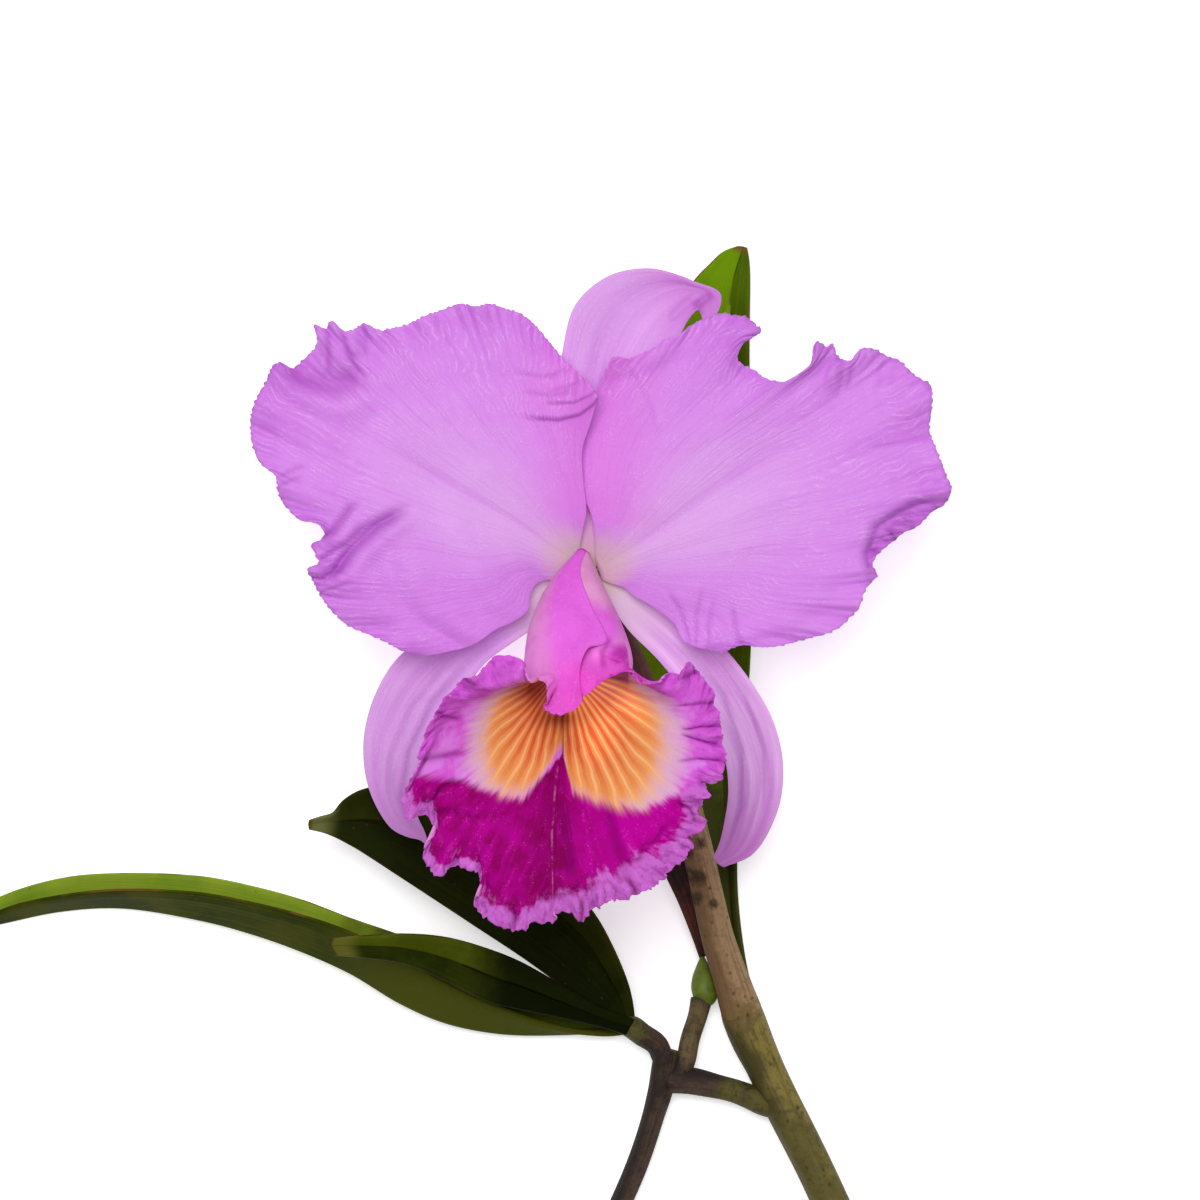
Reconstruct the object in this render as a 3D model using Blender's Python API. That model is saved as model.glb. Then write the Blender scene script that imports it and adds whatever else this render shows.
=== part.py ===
"""A cut cattleya orchid, laid on its back on a table: one open bloom on its stalk and
dry sheath, two canes joined by a short rhizome, and four leaves.

Lists of places are in millimetres. In plan they are measured from a point just below
the flower's heart, +X to the right and +Y to the top of the flower as it is looked at,
and +Z is the height over the table. The finished object is moved so that its origin is
the middle of its footprint on the table."""

import math

import bmesh
import bpy
import numpy as np
from mathutils import Vector

# Driving dimensions, in millimetres
MM = 0.001
GAP = 0.35                 # left between pieces that sit on each other
PETAL_THICKNESS = 0.8
SEPAL_THICKNESS = 0.9
LIP_THICKNESS = 0.8
LEAF_THICKNESS = 1.5
BRACT_THICKNESS = 0.8
CANE_RADIUS = 4.8          # the flowering cane
SIDE_CANE_RADIUS = 2.75
SHEATH_RADIUS = 4.2
BUD_RADIUS = 3.3
STUB_RADIUS = 2.4          # carries the bud
LEAF_STALK_RADIUS = 2.9
RHIZOME_RADIUS = 2.9
FLOWER_STALK_RADIUS = 2.1
COLUMN_RADIUS = 3.0
SEAT_HEIGHT = 46.0         # top of the ovary, where the flower's pieces are seated
SEPAL_BASE = 46.9
PETAL_BASE = 48.4
HEART = (-3.2, 9.2)        # the ovary's axis in plan
FOOT_CENTRE = (-40.4, -36.0)

# Linear colour and roughness of each piece
LILAC = ((0.62, 0.24, 0.72), 0.55)
PALE_LILAC = ((0.63, 0.33, 0.70), 0.55)
MAGENTA = ((0.52, 0.02, 0.42), 0.5)
CREAM_PINK = ((0.75, 0.5, 0.6), 0.5)
GREEN = ((0.09, 0.16, 0.02), 0.4)
DARK_GREEN = ((0.03, 0.055, 0.01), 0.4)
OLIVE = ((0.16, 0.13, 0.03), 0.6)
BROWN = ((0.09, 0.045, 0.03), 0.7)
DRY = ((0.2, 0.11, 0.06), 0.8)
DARK_DRY = ((0.05, 0.012, 0.008), 0.8)
BRIGHT_GREEN = ((0.17, 0.3, 0.03), 0.4)

# Petals: the side that starts at the top of the base, the far edge from that side's end
# to the other's, and the side that starts at the foot of the base
LEFT_PETAL = (
    [(-6.2, 12.4, PETAL_BASE), (-4.2, 22, 51), (-5, 30, 52.5), (-5, 37.5, 54), (-3.2, 44, 57),
     (-0.8, 50.5, 60.5)],
    [(-0.8, 50.5, 60.5), (-2.5, 54, 58), (-9.5, 60.8, 54), (-16.2, 68.8, 55.5), (-23.8, 73, 52.5),
     (-31.2, 74, 56), (-40, 72.5, 52.5), (-45, 71, 56), (-50, 68.3, 53), (-55, 67.5, 54.5),
     (-59, 69.2, 58), (-63.8, 67, 54.5), (-70, 69, 60), (-71.6, 63.8, 56), (-77, 58.4, 55),
     (-81.5, 59, 59.5), (-84, 55, 56), (-87.2, 47, 57.5), (-87, 38.8, 54), (-85, 34.2, 56),
     (-80.5, 30.5, 59), (-79.8, 25, 55), (-75, 20.4, 56.4), (-71.6, 18.6, 58.4),
     (-70.8, 15.6, 57.2), (-72, 12.6, 55.4), (-71, 9.5, 57), (-72.4, 6, 59.6), (-70.5, 2, 55),
     (-66.2, -3.8, 55.5), (-62.5, -6.8, 51.5), (-53.8, -10.5, 54.5), (-47, -13.2, 51)],
    [(-7.8, 7.2, PETAL_BASE), (-11, 5.2, 48.9), (-15, 3, 49.5), (-17.8, -1.5, 50),
     (-22.5, -5.8, 52), (-30, -10.2, 50.5), (-37.5, -12.8, 53.5), (-47, -13.2, 51)],
)
RIGHT_PETAL = (
    [(0.4, 12, PETAL_BASE), (-1.9, 21.5, 50.2), (-3.8, 29.5, 50.6), (-4.4, 38, 50.8), (-2.6, 46, 51.3),
     (0, 53, 52.6), (3, 60.2, 55.5)],
    [(3, 60.2, 55.5), (8, 61, 53.5), (15, 64.2, 52.8), (21, 67.2, 55.5), (28, 71, 52.5),
     (34, 71, 55), (39.4, 66.8, 57.4), (38.4, 62.4, 55.6), (39.6, 59.2, 53.8), (44, 57.2, 53.6),
     (49.2, 57.4, 54.4), (53.6, 59.4, 55.4), (57.2, 61.4, 56.4), (60, 61.6, 56), (63, 60.8, 55.4),
     (66.6, 61.6, 57), (72, 61, 54), (78, 57, 57), (82.5, 54, 54), (83, 47.5, 57),
     (82.5, 42, 53.5), (85.5, 34.5, 56), (88, 28, 53.5), (86.5, 24, 57), (81.2, 20, 53.8),
     (76.2, 17, 56), (71.2, 13, 54), (68.6, 9, 57), (68.5, 4.8, 54), (65.5, -0.5, 56.5),
     (62.5, -4.5, 52.5), (55, -9, 55.5),
     (47.5, -11, 51.8), (40, -11.8, 54.5), (33.8, -11.6, 53), (29, -13, 51.6)],
    [(2, 6.8, PETAL_BASE), (6.6, 2.8, 49.2), (12.5, -1.2, 50.6), (18.8, -6.2, 50.4),
     (22.5, -11.2, 52.5), (29, -13, 51.6)],
)

# Sepals: one edge, the middle line and the other edge, from the base to the tip
DORSAL_SEPAL = (
    [(-6, 12.2, SEPAL_BASE), (-8.4, 30, 46), (-10.6, 50, 45), (-9.4, 62, 44.5), (-6.2, 73.8, 45.5),
     (2, 81, 45), (12, 83, 44), (20, 81.2, 44), (29, 77.4, 46)],
    [(-3.2, 12.2, SEPAL_BASE), (-1, 30, 44.6), (2, 50, 42.4), (4.8, 61, 41), (9, 69, 40.8),
     (14, 74, 40.8), (19, 76.8, 41.5), (24, 77.4, 43.5), (29.8, 76.2, 47)],
    [(-0.4, 12.2, SEPAL_BASE), (6.5, 30, 46), (14, 50, 44.6), (18, 60, 43.5), (20, 66, 43.5),
     (22, 70.4, 44), (24.4, 73.6, 45.5), (27.2, 74.8, 47), (30, 74.8, 48.4)],
)
LEFT_SEPAL = (
    [(-8.2, 8.8, SEPAL_BASE), (-16, 3, 46.2), (-27, -3, 45), (-39, -7.4, 43), (-49.5, -13.4, 40.5),
     (-56, -23, 37.5), (-59.2, -35, 33.5), (-58, -47, 29.5), (-52.4, -57.4, 26), (-46, -61.2, 24.6)],
    [(-7.2, 6.6, SEPAL_BASE), (-14.8, -1, 45), (-24.5, -7.6, 43), (-34, -13.6, 40.4),
     (-43, -22, 37), (-49, -31, 33.4), (-52.4, -39.6, 30.4), (-53, -48, 27.8),
     (-49.6, -56.2, 25.2), (-45, -60.2, 24.5)],
    [(-5.6, 5.2, SEPAL_BASE), (-12.5, -4, 46), (-21, -10, 44.8), (-28.6, -15.6, 43),
     (-35, -24, 40.5), (-41.4, -32.4, 37.4), (-45.2, -40.4, 34), (-47.4, -48.6, 30),
     (-46.2, -54.6, 26.6), (-43.8, -59, 24.9)],
)
RIGHT_SEPAL = (
    [(1.8, 8.4, SEPAL_BASE), (12, 3, 46.2), (22, -3.6, 45), (31, -12, 43), (38, -20.8, 40.5),
     (43.4, -30.5, 37.5), (45.8, -41.2, 33.5), (44.6, -52.5, 29.5), (38.4, -63.6, 26.5),
     (31, -67, 25)],
    [(1, 6.2, SEPAL_BASE), (9.5, -0.6, 45), (18.5, -8.4, 43), (26.6, -17, 40.2), (32.6, -26, 37),
     (37, -35, 33.2), (39, -44, 29.6), (38, -54, 27), (34.2, -62.6, 25), (29.4, -66, 24.6)],
    [(-0.6, 5, SEPAL_BASE), (6.4, -6.6, 46), (14.4, -14.8, 44.8), (21.4, -23.4, 43),
     (27.2, -31.6, 40.4), (31.2, -39.6, 37), (32.2, -47.4, 33), (31.4, -54.6, 29.6),
     (29.8, -61.4, 27), (28.4, -64.6, 26)],
)

# Lip: round each section from the left flap's edge, which lies on top, under the column
# and up to the right flap's edge, which lies beneath it
FLAP_TURN = [60, 95, 135, 180, 225, 270, 315, 360, 398, 420, 438]
FLAP_OVERLAP = [0.9, 0.75, 0.3, 0, 0, 0, 0, 0, -0.3, -0.85, -0.95]
# Centre, half width, half height, lean of the ring towards the top of the flower
LIP_TUBE = [
    ((-4.1, 9.6, 51.6), 3.1, 3.3, 58),
    ((-6, 2.8, 56.5), 7, 6.5, 38),
    ((-6, -6.2, 61.5), 11.1, 9, 33),
    ((-5.4, -15, 67), 13.2, 11.5, 33),
]
LIP_THROAT = [
    (-2.4, -12.4, 81), (-7.2, -15.2, 82.4), (-13, -17, 80), (-18.8, -22.5, 72), (-16.2, -30, 64.5),
    (-10, -33.8, 62), (-2.5, -30.5, 63.5), (7, -23.8, 71), (6.4, -16.2, 78.6), (1.2, -14.2, 79),
    (-4.8, -16, 78.4),
]
LIP_BOWL = [
    (-4.4, -16.8, 84.2), (-8.2, -20.8, 85), (-13.8, -18.8, 83), (-27.5, -25, 77), (-25, -37.5, 71.5),
    (-10.8, -43.8, 71), (3.8, -37.5, 71.5), (13.8, -26.2, 76.5), (8.5, -18.2, 82),
    (3, -17.2, 82), (-4.4, -19, 80.8),
]
LIP_SKIRT = [
    (-4.6, -20.8, 85.8), (-9.4, -25.2, 86.6), (-15, -19.5, 85.4), (-36.2, -26.2, 83),
    (-38.2, -47.5, 80.5), (-11.8, -62.5, 81), (10, -55, 80.5), (23, -30, 82), (10.5, -19.4, 85),
    (5.2, -18.3, 84.2), (-4.2, -21.6, 82.4),
]
# The rim, one stretch for each pair of neighbouring places round the sections
LIP_RIM = [
    [(-4.2, -24.2, 86.4), (-6, -27.4, 87.4), (-10, -28.8, 88)],
    [(-13.8, -27.6, 87.4), (-13.4, -22.6, 87.2), (-16, -20.2, 87)],
    [(-18.6, -17.8, 86.4), (-20.6, -15, 85.4), (-25, -13.8, 86.4), (-29, -16.6, 84.6),
     (-33.4, -19.4, 88), (-36.6, -22, 84.6), (-40, -25.8, 87.4)],
    [(-41.6, -29.4, 84.8), (-44, -34, 87), (-45.8, -40, 84.6), (-48.4, -47, 86),
     (-49.4, -52, 82.8), (-46.6, -56, 80.8), (-44.6, -59.4, 81)],
    [(-44, -63, 82), (-42.2, -67, 80), (-38.6, -68.6, 82), (-34.4, -68.6, 79.2),
     (-31.4, -71.4, 80), (-31, -76, 78.4), (-27, -80.4, 81), (-21, -82.4, 77.4), (-16, -80.4, 80.4),
     (-10.8, -78.8, 77.6)],
    [(-5, -80.4, 80.6), (-1.4, -77, 76.8), (5.4, -75, 80.4), (10, -73, 77), (14.6, -71, 80.8),
     (18.4, -67.2, 77.4), (23.6, -60.4, 81.6)],
    [(24, -57.6, 78.4), (26, -54, 82), (25, -49.6, 79.6), (28.8, -45.8, 84), (31.2, -41, 81),
     (31, -35, 85.4), (29.8, -28.6, 82.4), (28.4, -22.6, 86.2)],
    [(25.6, -18.6, 83.8), (21.8, -15.6, 87.4), (18, -18.2, 84), (14.4, -20.6, 88), (10, -20.6, 86.6)],
    [(8.2, -17.8, 87.2), (6.2, -17.6, 86)],
    [(1.4, -19.8, 85.8), (-4.4, -24.2, 83.4)],
]
# Share of the lip's length at which each section lies
LIP_PLACES = [0, 0.13, 0.26, 0.4, 0.55, 0.7, 0.86, 1]

# Leaves: one edge, the keel and the other edge, from the base to the tip
TALL_LEAF = (
    [(31, -99, 2.4), (27.5, -85, 3), (20, -65, 4.4), (8, -40, 6), (0.5, -15, 7), (0, 8, 7.4),
     (6, 35, 7.4), (17, 58, 7), (22.5, 74, 6.6), (26, 83, 6), (31, 87, 4.6), (34.8, 88, 3.4)],
    [(34.8, -99, 1.2), (33, -85, -0.6), (31.6, -65, -2), (30.4, -40, -2.6), (30, -15, -2.6),
     (30.2, 8, -2.6), (31, 35, -2.4), (31.6, 58, -1.6), (32.4, 72, 0), (33.6, 80, 1.3),
     (34.8, 85.4, 2.2), (35.6, 88, 3.2)],
    [(38.4, -99, 2.8), (36, -88, 3.4), (34.2, -70, 3.8), (35.6, -45, 4.6), (37.6, -15, 5.2),
     (38.4, 8, 5.4), (38, 35, 5.4), (37.6, 58, 5.2), (37.8, 72, 5), (37.6, 82, 4.4),
     (37, 86.8, 3.8), (36.4, 88, 3.2)],
)
LONG_LEAF = (
    [(6.1, -109.2, 4.8), (1, -109.4, 5.4), (-10, -107.4, 7.4), (-25, -102.2, 11), (-38.5, -96, 14),
     (-50, -89.2, 16), (-62.5, -83.3, 17), (-75, -79, 16.6), (-87.5, -75.9, 15.6), (-100, -73.6, 14.4),
     (-120, -72.7, 11.8), (-135, -74.2, 9.6), (-150, -77.8, 6.8), (-160, -84.2, 2.6),
     (-168, -87.8, 1.5)],
    [(7.3, -107.2, 3.9), (1, -107.9, 3.4), (-10, -108.8, 3), (-25, -108.8, 3), (-38.5, -106.4, 3.4),
     (-50, -101.6, 3.8), (-62.5, -94, 4), (-75, -88.3, 3.8), (-87.5, -83.8, 3.2), (-100, -80.4, 2.4),
     (-120, -77.1, 0.8), (-135, -77.8, 0.6), (-150, -80.8, 0.6), (-160, -83, 0.9),
     (-168.4, -87, 1.1)],
    [(8.5, -105.2, 4.2), (1, -104.4, 4.4), (-10, -101, 5.4), (-25, -95.4, 7), (-38.5, -88.8, 8),
     (-50, -84.2, 7.6), (-62.5, -79.9, 7), (-75, -75.2, 6.2), (-87.5, -71.8, 5.2), (-100, -69.4, 4),
     (-120, -68.6, 2.6), (-135, -69.8, 2.2), (-150, -74.2, 2), (-160, -79.8, 1.8),
     (-168.8, -86, 1.5)],
)
SHORT_LEAF = (
    [(8.6, -105.2, 9.1), (0, -102, 10.4), (-10, -96.3, 13.4), (-20, -90.7, 17), (-28, -87.5, 19.6),
     (-38.5, -84.6, 22.4), (-48.8, -83.7, 24), (-58.8, -84.1, 24.6), (-67.4, -84.9, 24.6)],
    [(7.5, -107.2, 8.7), (0, -104.8, 9.8), (-10, -100.9, 12.2), (-20, -97, 15), (-28, -94.2, 17),
     (-38.5, -90, 19.6), (-48.8, -87.2, 21.8), (-58.8, -86.6, 23.4), (-68, -86.6, 24.4)],
    [(6.4, -109.2, 9.1), (0, -107.2, 10.2), (-10, -104.8, 12.8), (-20, -102.7, 16), (-28, -100.8, 18),
     (-38.5, -95.6, 21), (-48.8, -91.2, 23.4), (-58.8, -89.8, 24.6), (-66.4, -89.1, 24.8)],
)
REAR_LEAF = (
    [(6.6, -108.6, 6.6), (3, -105.8, 6.9), (-1, -102.3, 8.2), (-10, -96.5, 10.6), (-19.5, -89.7, 12.4),
     (-32.5, -81.1, 14.4), (-50, -69.6, 16), (-62.5, -61.6, 17), (-68.8, -58.6, 17.2), (-73, -57.6, 17.4)],
    [(7.6, -107, 6.3), (6.2, -102, 6), (3.2, -96, 6.2), (-4, -85, 7), (-16, -75, 8.6), (-32, -65, 10.6),
     (-47, -57.6, 12.6), (-58, -55.2, 14.4), (-67, -55.4, 16.4), (-73.2, -56.4, 17.3)],
    [(8.8, -105.2, 6.6), (8.2, -101, 7.4), (6.9, -96, 9), (3.4, -87.5, 11), (-2, -78, 13),
     (-13.8, -65.6, 15.4), (-30, -54, 17), (-46, -46.8, 18), (-59, -47.6, 18.8), (-65, -51, 18.6),
     (-73, -55, 17.9)],
)
BRACT = (
    [(25, -90, 4.6), (23.2, -85, 5.2), (19.6, -76, 6.6), (16, -68.4, 8.8), (12.2, -60, 11.8)],
    [(26.2, -89.6, 3.9), (25.3, -84, 4.8), (22.6, -74.6, 6.2), (19.2, -66.2, 8.2), (15.4, -58, 11.2)],
    [(27.8, -88.8, 4), (28, -82.6, 5.2), (26.4, -72.6, 6.4), (23.6, -63.6, 8.6), (19.6, -55.8, 11.6)],
)

# Canes and stalks: places on the middle line, each with its share of the stem's radius
CANE = [
    ((61.6, -159.4, 4.85), 1), ((56, -147, 4.85), 0.97), ((47, -129, 4.9), 0.99),
    ((41.4, -117, 5.2), 0.99), ((38.2, -110.6, 5.7), 1.08), ((36, -104.8, 6), 1.1),
    ((35, -101, 6.2), 1.02),
]
SIDE_CANE = [
    ((1.6, -160, 2.72), 0.98), ((8.2, -144.6, 3.2), 1), ((13.4, -130, 3.8), 1.02),
    ((15, -124, 4.3), 1.13), ((16, -118, 4.8), 1.16), ((17, -112.8, 5.2), 1.09),
]
LEAF_STALK = [
    ((16.6, -117, 5), 0.9), ((14.4, -112, 5.4), 0.97), ((10.6, -109, 6.2), 1),
    ((8, -107.4, 6.5), 1.03),
]
BUD_STUB = [
    ((18, -122, 5), 1.08), ((21, -117, 5.6), 1.05), ((22.6, -111, 5.8), 1.02),
    ((24.4, -104.6, 5.8), 1.02), ((25.6, -101.2, 5.6), 1.06),
]
RHIZOME = [
    ((17, -120.6, 4.8), 1.1), ((24, -121, 4.9), 1.17), ((31, -122.6, 4.9), 1.02),
    ((37, -124.6, 4.9), 1.08), ((44, -127, 4.9), 1.2),
]
BUD = [
    ((26, -100.4, 5.6), 0.7), ((26.2, -98.6, 5.5), 1), ((26, -95.4, 5.2), 0.94),
    ((25.8, -92.4, 5), 0.58), ((25.7, -90.8, 4.9), 0.21),
]
SHEATH = [
    ((34.5, -100.2, 8.8), 1.1), ((33, -95.4, 9.7), 1.02), ((29.8, -85.6, 11), 0.96),
    ((27.2, -75, 13), 0.94), ((24.3, -62, 16), 0.89), ((20.8, -48, 19.8), 0.8),
    ((17.8, -37, 23), 0.67),
]
STALK = [
    ((17.6, -36.2, 23.3), 0.95), ((14.4, -27, 26.6), 1), ((8.6, -14, 32), 1.1),
    ((2.2, -1.8, 36.6), 1.33), ((-2, 6.8, 39.8), 1.57), ((-3.1, 9.1, 42.6), 1.9),
    ((*HEART, 44.6), 2.1), ((*HEART, SEAT_HEIGHT), 2.19),
]
COLUMN = [
    ((*HEART, SEAT_HEIGHT + GAP), 0.57), ((-3.5, 9.3, 50), 0.57), ((-4.4, 7.2, 54), 0.63),
    ((-5.4, 2.4, 57.6), 0.8), ((-6.1, -4, 61.6), 0.97), ((-6.4, -9.4, 65), 1),
    ((-6.5, -11.6, 66.4), 0.57),
]

# Finer values of the shapes
PETAL_SPOKES = 62
PETAL_RINGS = 9
EVEN_ROWS = 5              # rows from the base that keep their places when a petal is evened
EVEN_SWEEPS = 60
SLOW_WAVE = 16.0           # waves of a petal's edge longer than this reach down to its base
QUICK_WAVE = 6.0           # waves shorter than this stay close to its edge
PETAL_BOWL = 2.6           # how far the middle of a petal bulges towards the viewer
RIB_DEPTH = 1.4
RIB_WIDTH = 0.12           # as a share of the petal's half width
SEPAL_STEPS = (8, 14)      # across and along
LEAF_STEPS = (6, 16)
TALL_LEAF_STEPS = (10, 16)
BRACT_STEPS = (4, 8)
LIP_SPOKES = 86
LIP_RINGS = 11
STEM_SIDES = 12
CANE_SIDES = 16
CANE_STEPS = 12


def clear_scene():
    for thing in list(bpy.data.objects):
        bpy.data.objects.remove(thing, do_unlink=True)


def material(name, finish):
    colour, roughness = finish
    made = bpy.data.materials.new(name)
    made.use_nodes = True
    shader = made.node_tree.nodes["Principled BSDF"]
    shader.inputs["Base Color"].default_value = (*colour, 1)
    shader.inputs["Roughness"].default_value = roughness
    shader.inputs["Metallic"].default_value = 0
    made.diffuse_color = (*colour, 1)
    return made


def chord_keys(points):
    """A key for each point, growing with the root of the distance between neighbours."""
    steps = np.sqrt(np.linalg.norm(np.diff(points, axis=0), axis=1))
    return np.concatenate([[0], np.cumsum(steps)])


def through(keys, points, at):
    """Places at the values `at` on a smooth curve that passes each point at its key."""
    keys = np.asarray(keys, float)
    points = np.asarray(points, float)
    at = np.asarray(at, float)
    spans = np.diff(keys)
    spread = (-1,) + (1,) * (points.ndim - 1)
    slopes = np.diff(points, axis=0) / spans.reshape(spread)
    tangents = np.empty_like(points)
    tangents[0] = slopes[0]
    tangents[-1] = slopes[-1]
    before = spans[:-1].reshape(spread)
    after = spans[1:].reshape(spread)
    tangents[1:-1] = (slopes[:-1] * after + slopes[1:] * before) / (before + after)
    cell = np.clip(np.searchsorted(keys, at, side="right") - 1, 0, len(spans) - 1)
    width = spans[cell].reshape(spread)
    t = ((at - keys[cell]) / spans[cell]).reshape(spread)
    return (
        points[cell] * (2 * t**3 - 3 * t**2 + 1)
        + tangents[cell] * width * (t**3 - 2 * t**2 + t)
        + points[cell + 1] * (3 * t**2 - 2 * t**3)
        + tangents[cell + 1] * width * (t**3 - t**2)
    )


def even(points, count):
    """`count` places at equal distances along the smooth curve through the points."""
    points = np.asarray(points, float)
    keys = chord_keys(points)
    fine = through(keys, points, np.linspace(0, keys[-1], 40 * len(points)))
    run = np.concatenate([[0], np.cumsum(np.linalg.norm(np.diff(fine, axis=0), axis=1))])
    wanted = np.linspace(0, run[-1], count)
    return np.stack([np.interp(wanted, run, fine[:, axis]) for axis in range(3)], axis=1)


def softened(curve, reach):
    """An evenly spaced curve without its waves shorter than `reach`, its ends kept."""
    step = np.linalg.norm(np.diff(curve, axis=0), axis=1).mean()
    soft = curve.copy()
    for _ in range(int(2 * (reach / step) ** 2 / 4)):
        soft[1:-1] += 0.25 * (soft[:-2] - 2 * soft[1:-1] + soft[2:])
    return soft


def slid_even(plan, sweeps):
    """Lets the inner places of a grid slide, its border kept, until its lines run evenly
    and don't cross."""
    for _ in range(sweeps):
        across = (plan[1:-1, 2:] - plan[1:-1, :-2]) / 2
        along = (plan[2:, 1:-1] - plan[:-2, 1:-1]) / 2
        first = (along**2).sum(-1, keepdims=True)
        second = (across**2).sum(-1, keepdims=True)
        both = (across * along).sum(-1, keepdims=True)
        corners = (plan[2:, 2:] - plan[2:, :-2] - plan[:-2, 2:] + plan[:-2, :-2]) / 2
        plan[1:-1, 1:-1] = (
            first * (plan[1:-1, 2:] + plan[1:-1, :-2])
            + second * (plan[2:, 1:-1] + plan[:-2, 1:-1])
            - both * corners
        ) / (2 * (first + second))
    return plan


def petal_surface(sides, spokes, rings):
    """A petal's middle surface, spread between its two sides, its narrow base and its far
    edge. The edge's slow waves run down to the base, and the quicker a wave is the
    closer to the edge it stays."""
    first, edge, last = sides
    samples = 6 * spokes + 1
    curve = even(edge, samples)
    slow = softened(curve, SLOW_WAVE)
    middle = softened(curve, QUICK_WAVE)
    pick = np.arange(0, samples, 6)
    across = np.linspace(0, 1, spokes + 1)[:, None]
    along = 1 - (1 - np.linspace(0, 1, rings + 1)) ** 1.2
    fine = 40 * rings + 1
    left = even(first, fine)[np.rint(along * (fine - 1)).astype(int)]
    right = even(last, fine)[np.rint(along * (fine - 1)).astype(int)]
    foot = left[0] + (right[0] - left[0]) * across
    far = slow[pick]
    rows = []
    for t, start, end in zip(along, left, right):
        row = start * (1 - across) + end * across + foot * (1 - t) + far * t
        row -= (1 - t) * foot + t * (left[-1] * (1 - across) + right[-1] * across)
        row += (middle[pick] - slow[pick]) * t**3 + (curve[pick] - middle[pick]) * t**8
        side = 2 * across[:, 0] - 1
        swell = math.sin(math.pi * t)
        row[:, 2] += PETAL_BOWL * swell * (1 - side**2)
        row[:, 2] -= RIB_DEPTH * swell * np.exp(-((side / RIB_WIDTH) ** 2))
        rows.append(row)
    surface = np.array(rows)
    surface[EVEN_ROWS:, :, :2] = slid_even(surface[EVEN_ROWS:, :, :2].copy(), EVEN_SWEEPS)
    return surface


def strip(rails, steps):
    """A blade's middle surface over three rails that run from its base to its tip."""
    across, along = steps
    lines = np.array([even(rail, along + 1) for rail in rails])
    return through([0, 0.5, 1], lines, np.linspace(0, 1, across + 1)).transpose(1, 0, 2)


def creased(rails, steps):
    """As strip, but with straight sides that meet in a keel along the middle rail."""
    across, along = steps
    left, keel, right = [even(rail, along + 1)[:, None] for rail in rails]
    share = np.linspace(0, 1, across // 2 + 1)[None, :, None]
    first = left + (keel - left) * share
    second = keel + (right - keel) * share[:, 1:]
    return np.concatenate([first, second], axis=1)


def pressed(grid, thickness):
    """A blade's middle surface, pressed flat where it would reach under the table's top."""
    grid[..., 2] = np.maximum(grid[..., 2], thickness / 2)
    return grid


def tube_ring(centre, half_width, half_height, lean):
    """A section of the lip's tube: an open ring whose ends overlap on top."""
    turn = np.radians(FLAP_TURN)
    shift = np.array(FLAP_OVERLAP) * max(0.75, min(1, half_width / 8))
    out = (half_width + shift) * np.cos(turn)
    up = (half_height + shift) * np.sin(turn)
    tilt = math.radians(lean)
    x, y, z = centre
    return np.stack([x + out, y + up * math.sin(tilt), z + up * math.cos(tilt)], axis=1)


def lip_surface(spokes, rings):
    """The lip's middle surface, from its narrow base to its frilled rim."""
    rim = [LIP_RIM[0][0]]
    places = [0.0]
    for stretch, points in enumerate(LIP_RIM):
        own = points[1:] if stretch == 0 else points
        rim += own
        places += [stretch + (i + 1) / len(own) for i in range(len(own))]
    rim_keys = chord_keys(np.array(rim))
    rim_fine = np.linspace(0, rim_keys[-1], 20 * spokes)
    curve = through(rim_keys, rim, rim_fine)
    run = np.concatenate([[0], np.cumsum(np.linalg.norm(np.diff(curve, axis=0), axis=1))])
    pick = np.interp(np.linspace(0, run[-1], spokes + 1), run, rim_fine)
    turn = np.interp(pick, rim_keys, places)
    stations = np.arange(len(LIP_THROAT))
    sections = [through(stations, tube_ring(*ring), turn) for ring in LIP_TUBE]
    sections += [through(stations, part, turn) for part in (LIP_THROAT, LIP_BOWL, LIP_SKIRT)]
    sections.append(through(rim_keys, rim, pick))
    t = np.linspace(0, 1, rings + 1)
    return through(LIP_PLACES, np.array(sections), t)


def placed(points):
    """Points in millimetres over the table, as metres from the object's origin."""
    return (np.asarray(points) - np.array([*FOOT_CENTRE, 0])) * MM


def new_object(name, points, faces, finish):
    mesh = bpy.data.meshes.new(name)
    mesh.from_pydata([tuple(p) for p in placed(points)], [], faces)
    mesh.validate()
    mesh.materials.append(material(name, finish))
    made = bpy.data.objects.new(name, mesh)
    bpy.context.scene.collection.objects.link(made)
    bpy.ops.object.select_all(action="DESELECT")
    made.select_set(True)
    bpy.context.view_layer.objects.active = made
    return made


def blade(name, grid, thickness, finish):
    """A thin blade with the grid as its middle surface. The grid is cut into triangles
    before it gets its thickness, so both of its faces are cut alike."""
    rows, columns = grid.shape[:2]
    faces = []
    for row in range(rows - 1):
        for column in range(columns - 1):
            a = row * columns + column
            b = a + columns
            faces.append((a, a + 1, b + 1))
            faces.append((a, b + 1, b))
    made = new_object(name, grid.reshape(-1, 3), faces, finish)
    body = made.modifiers.new("Thickness", "SOLIDIFY")
    body.thickness = thickness * MM
    body.offset = 0
    made.data.shade_smooth()
    return made


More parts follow.
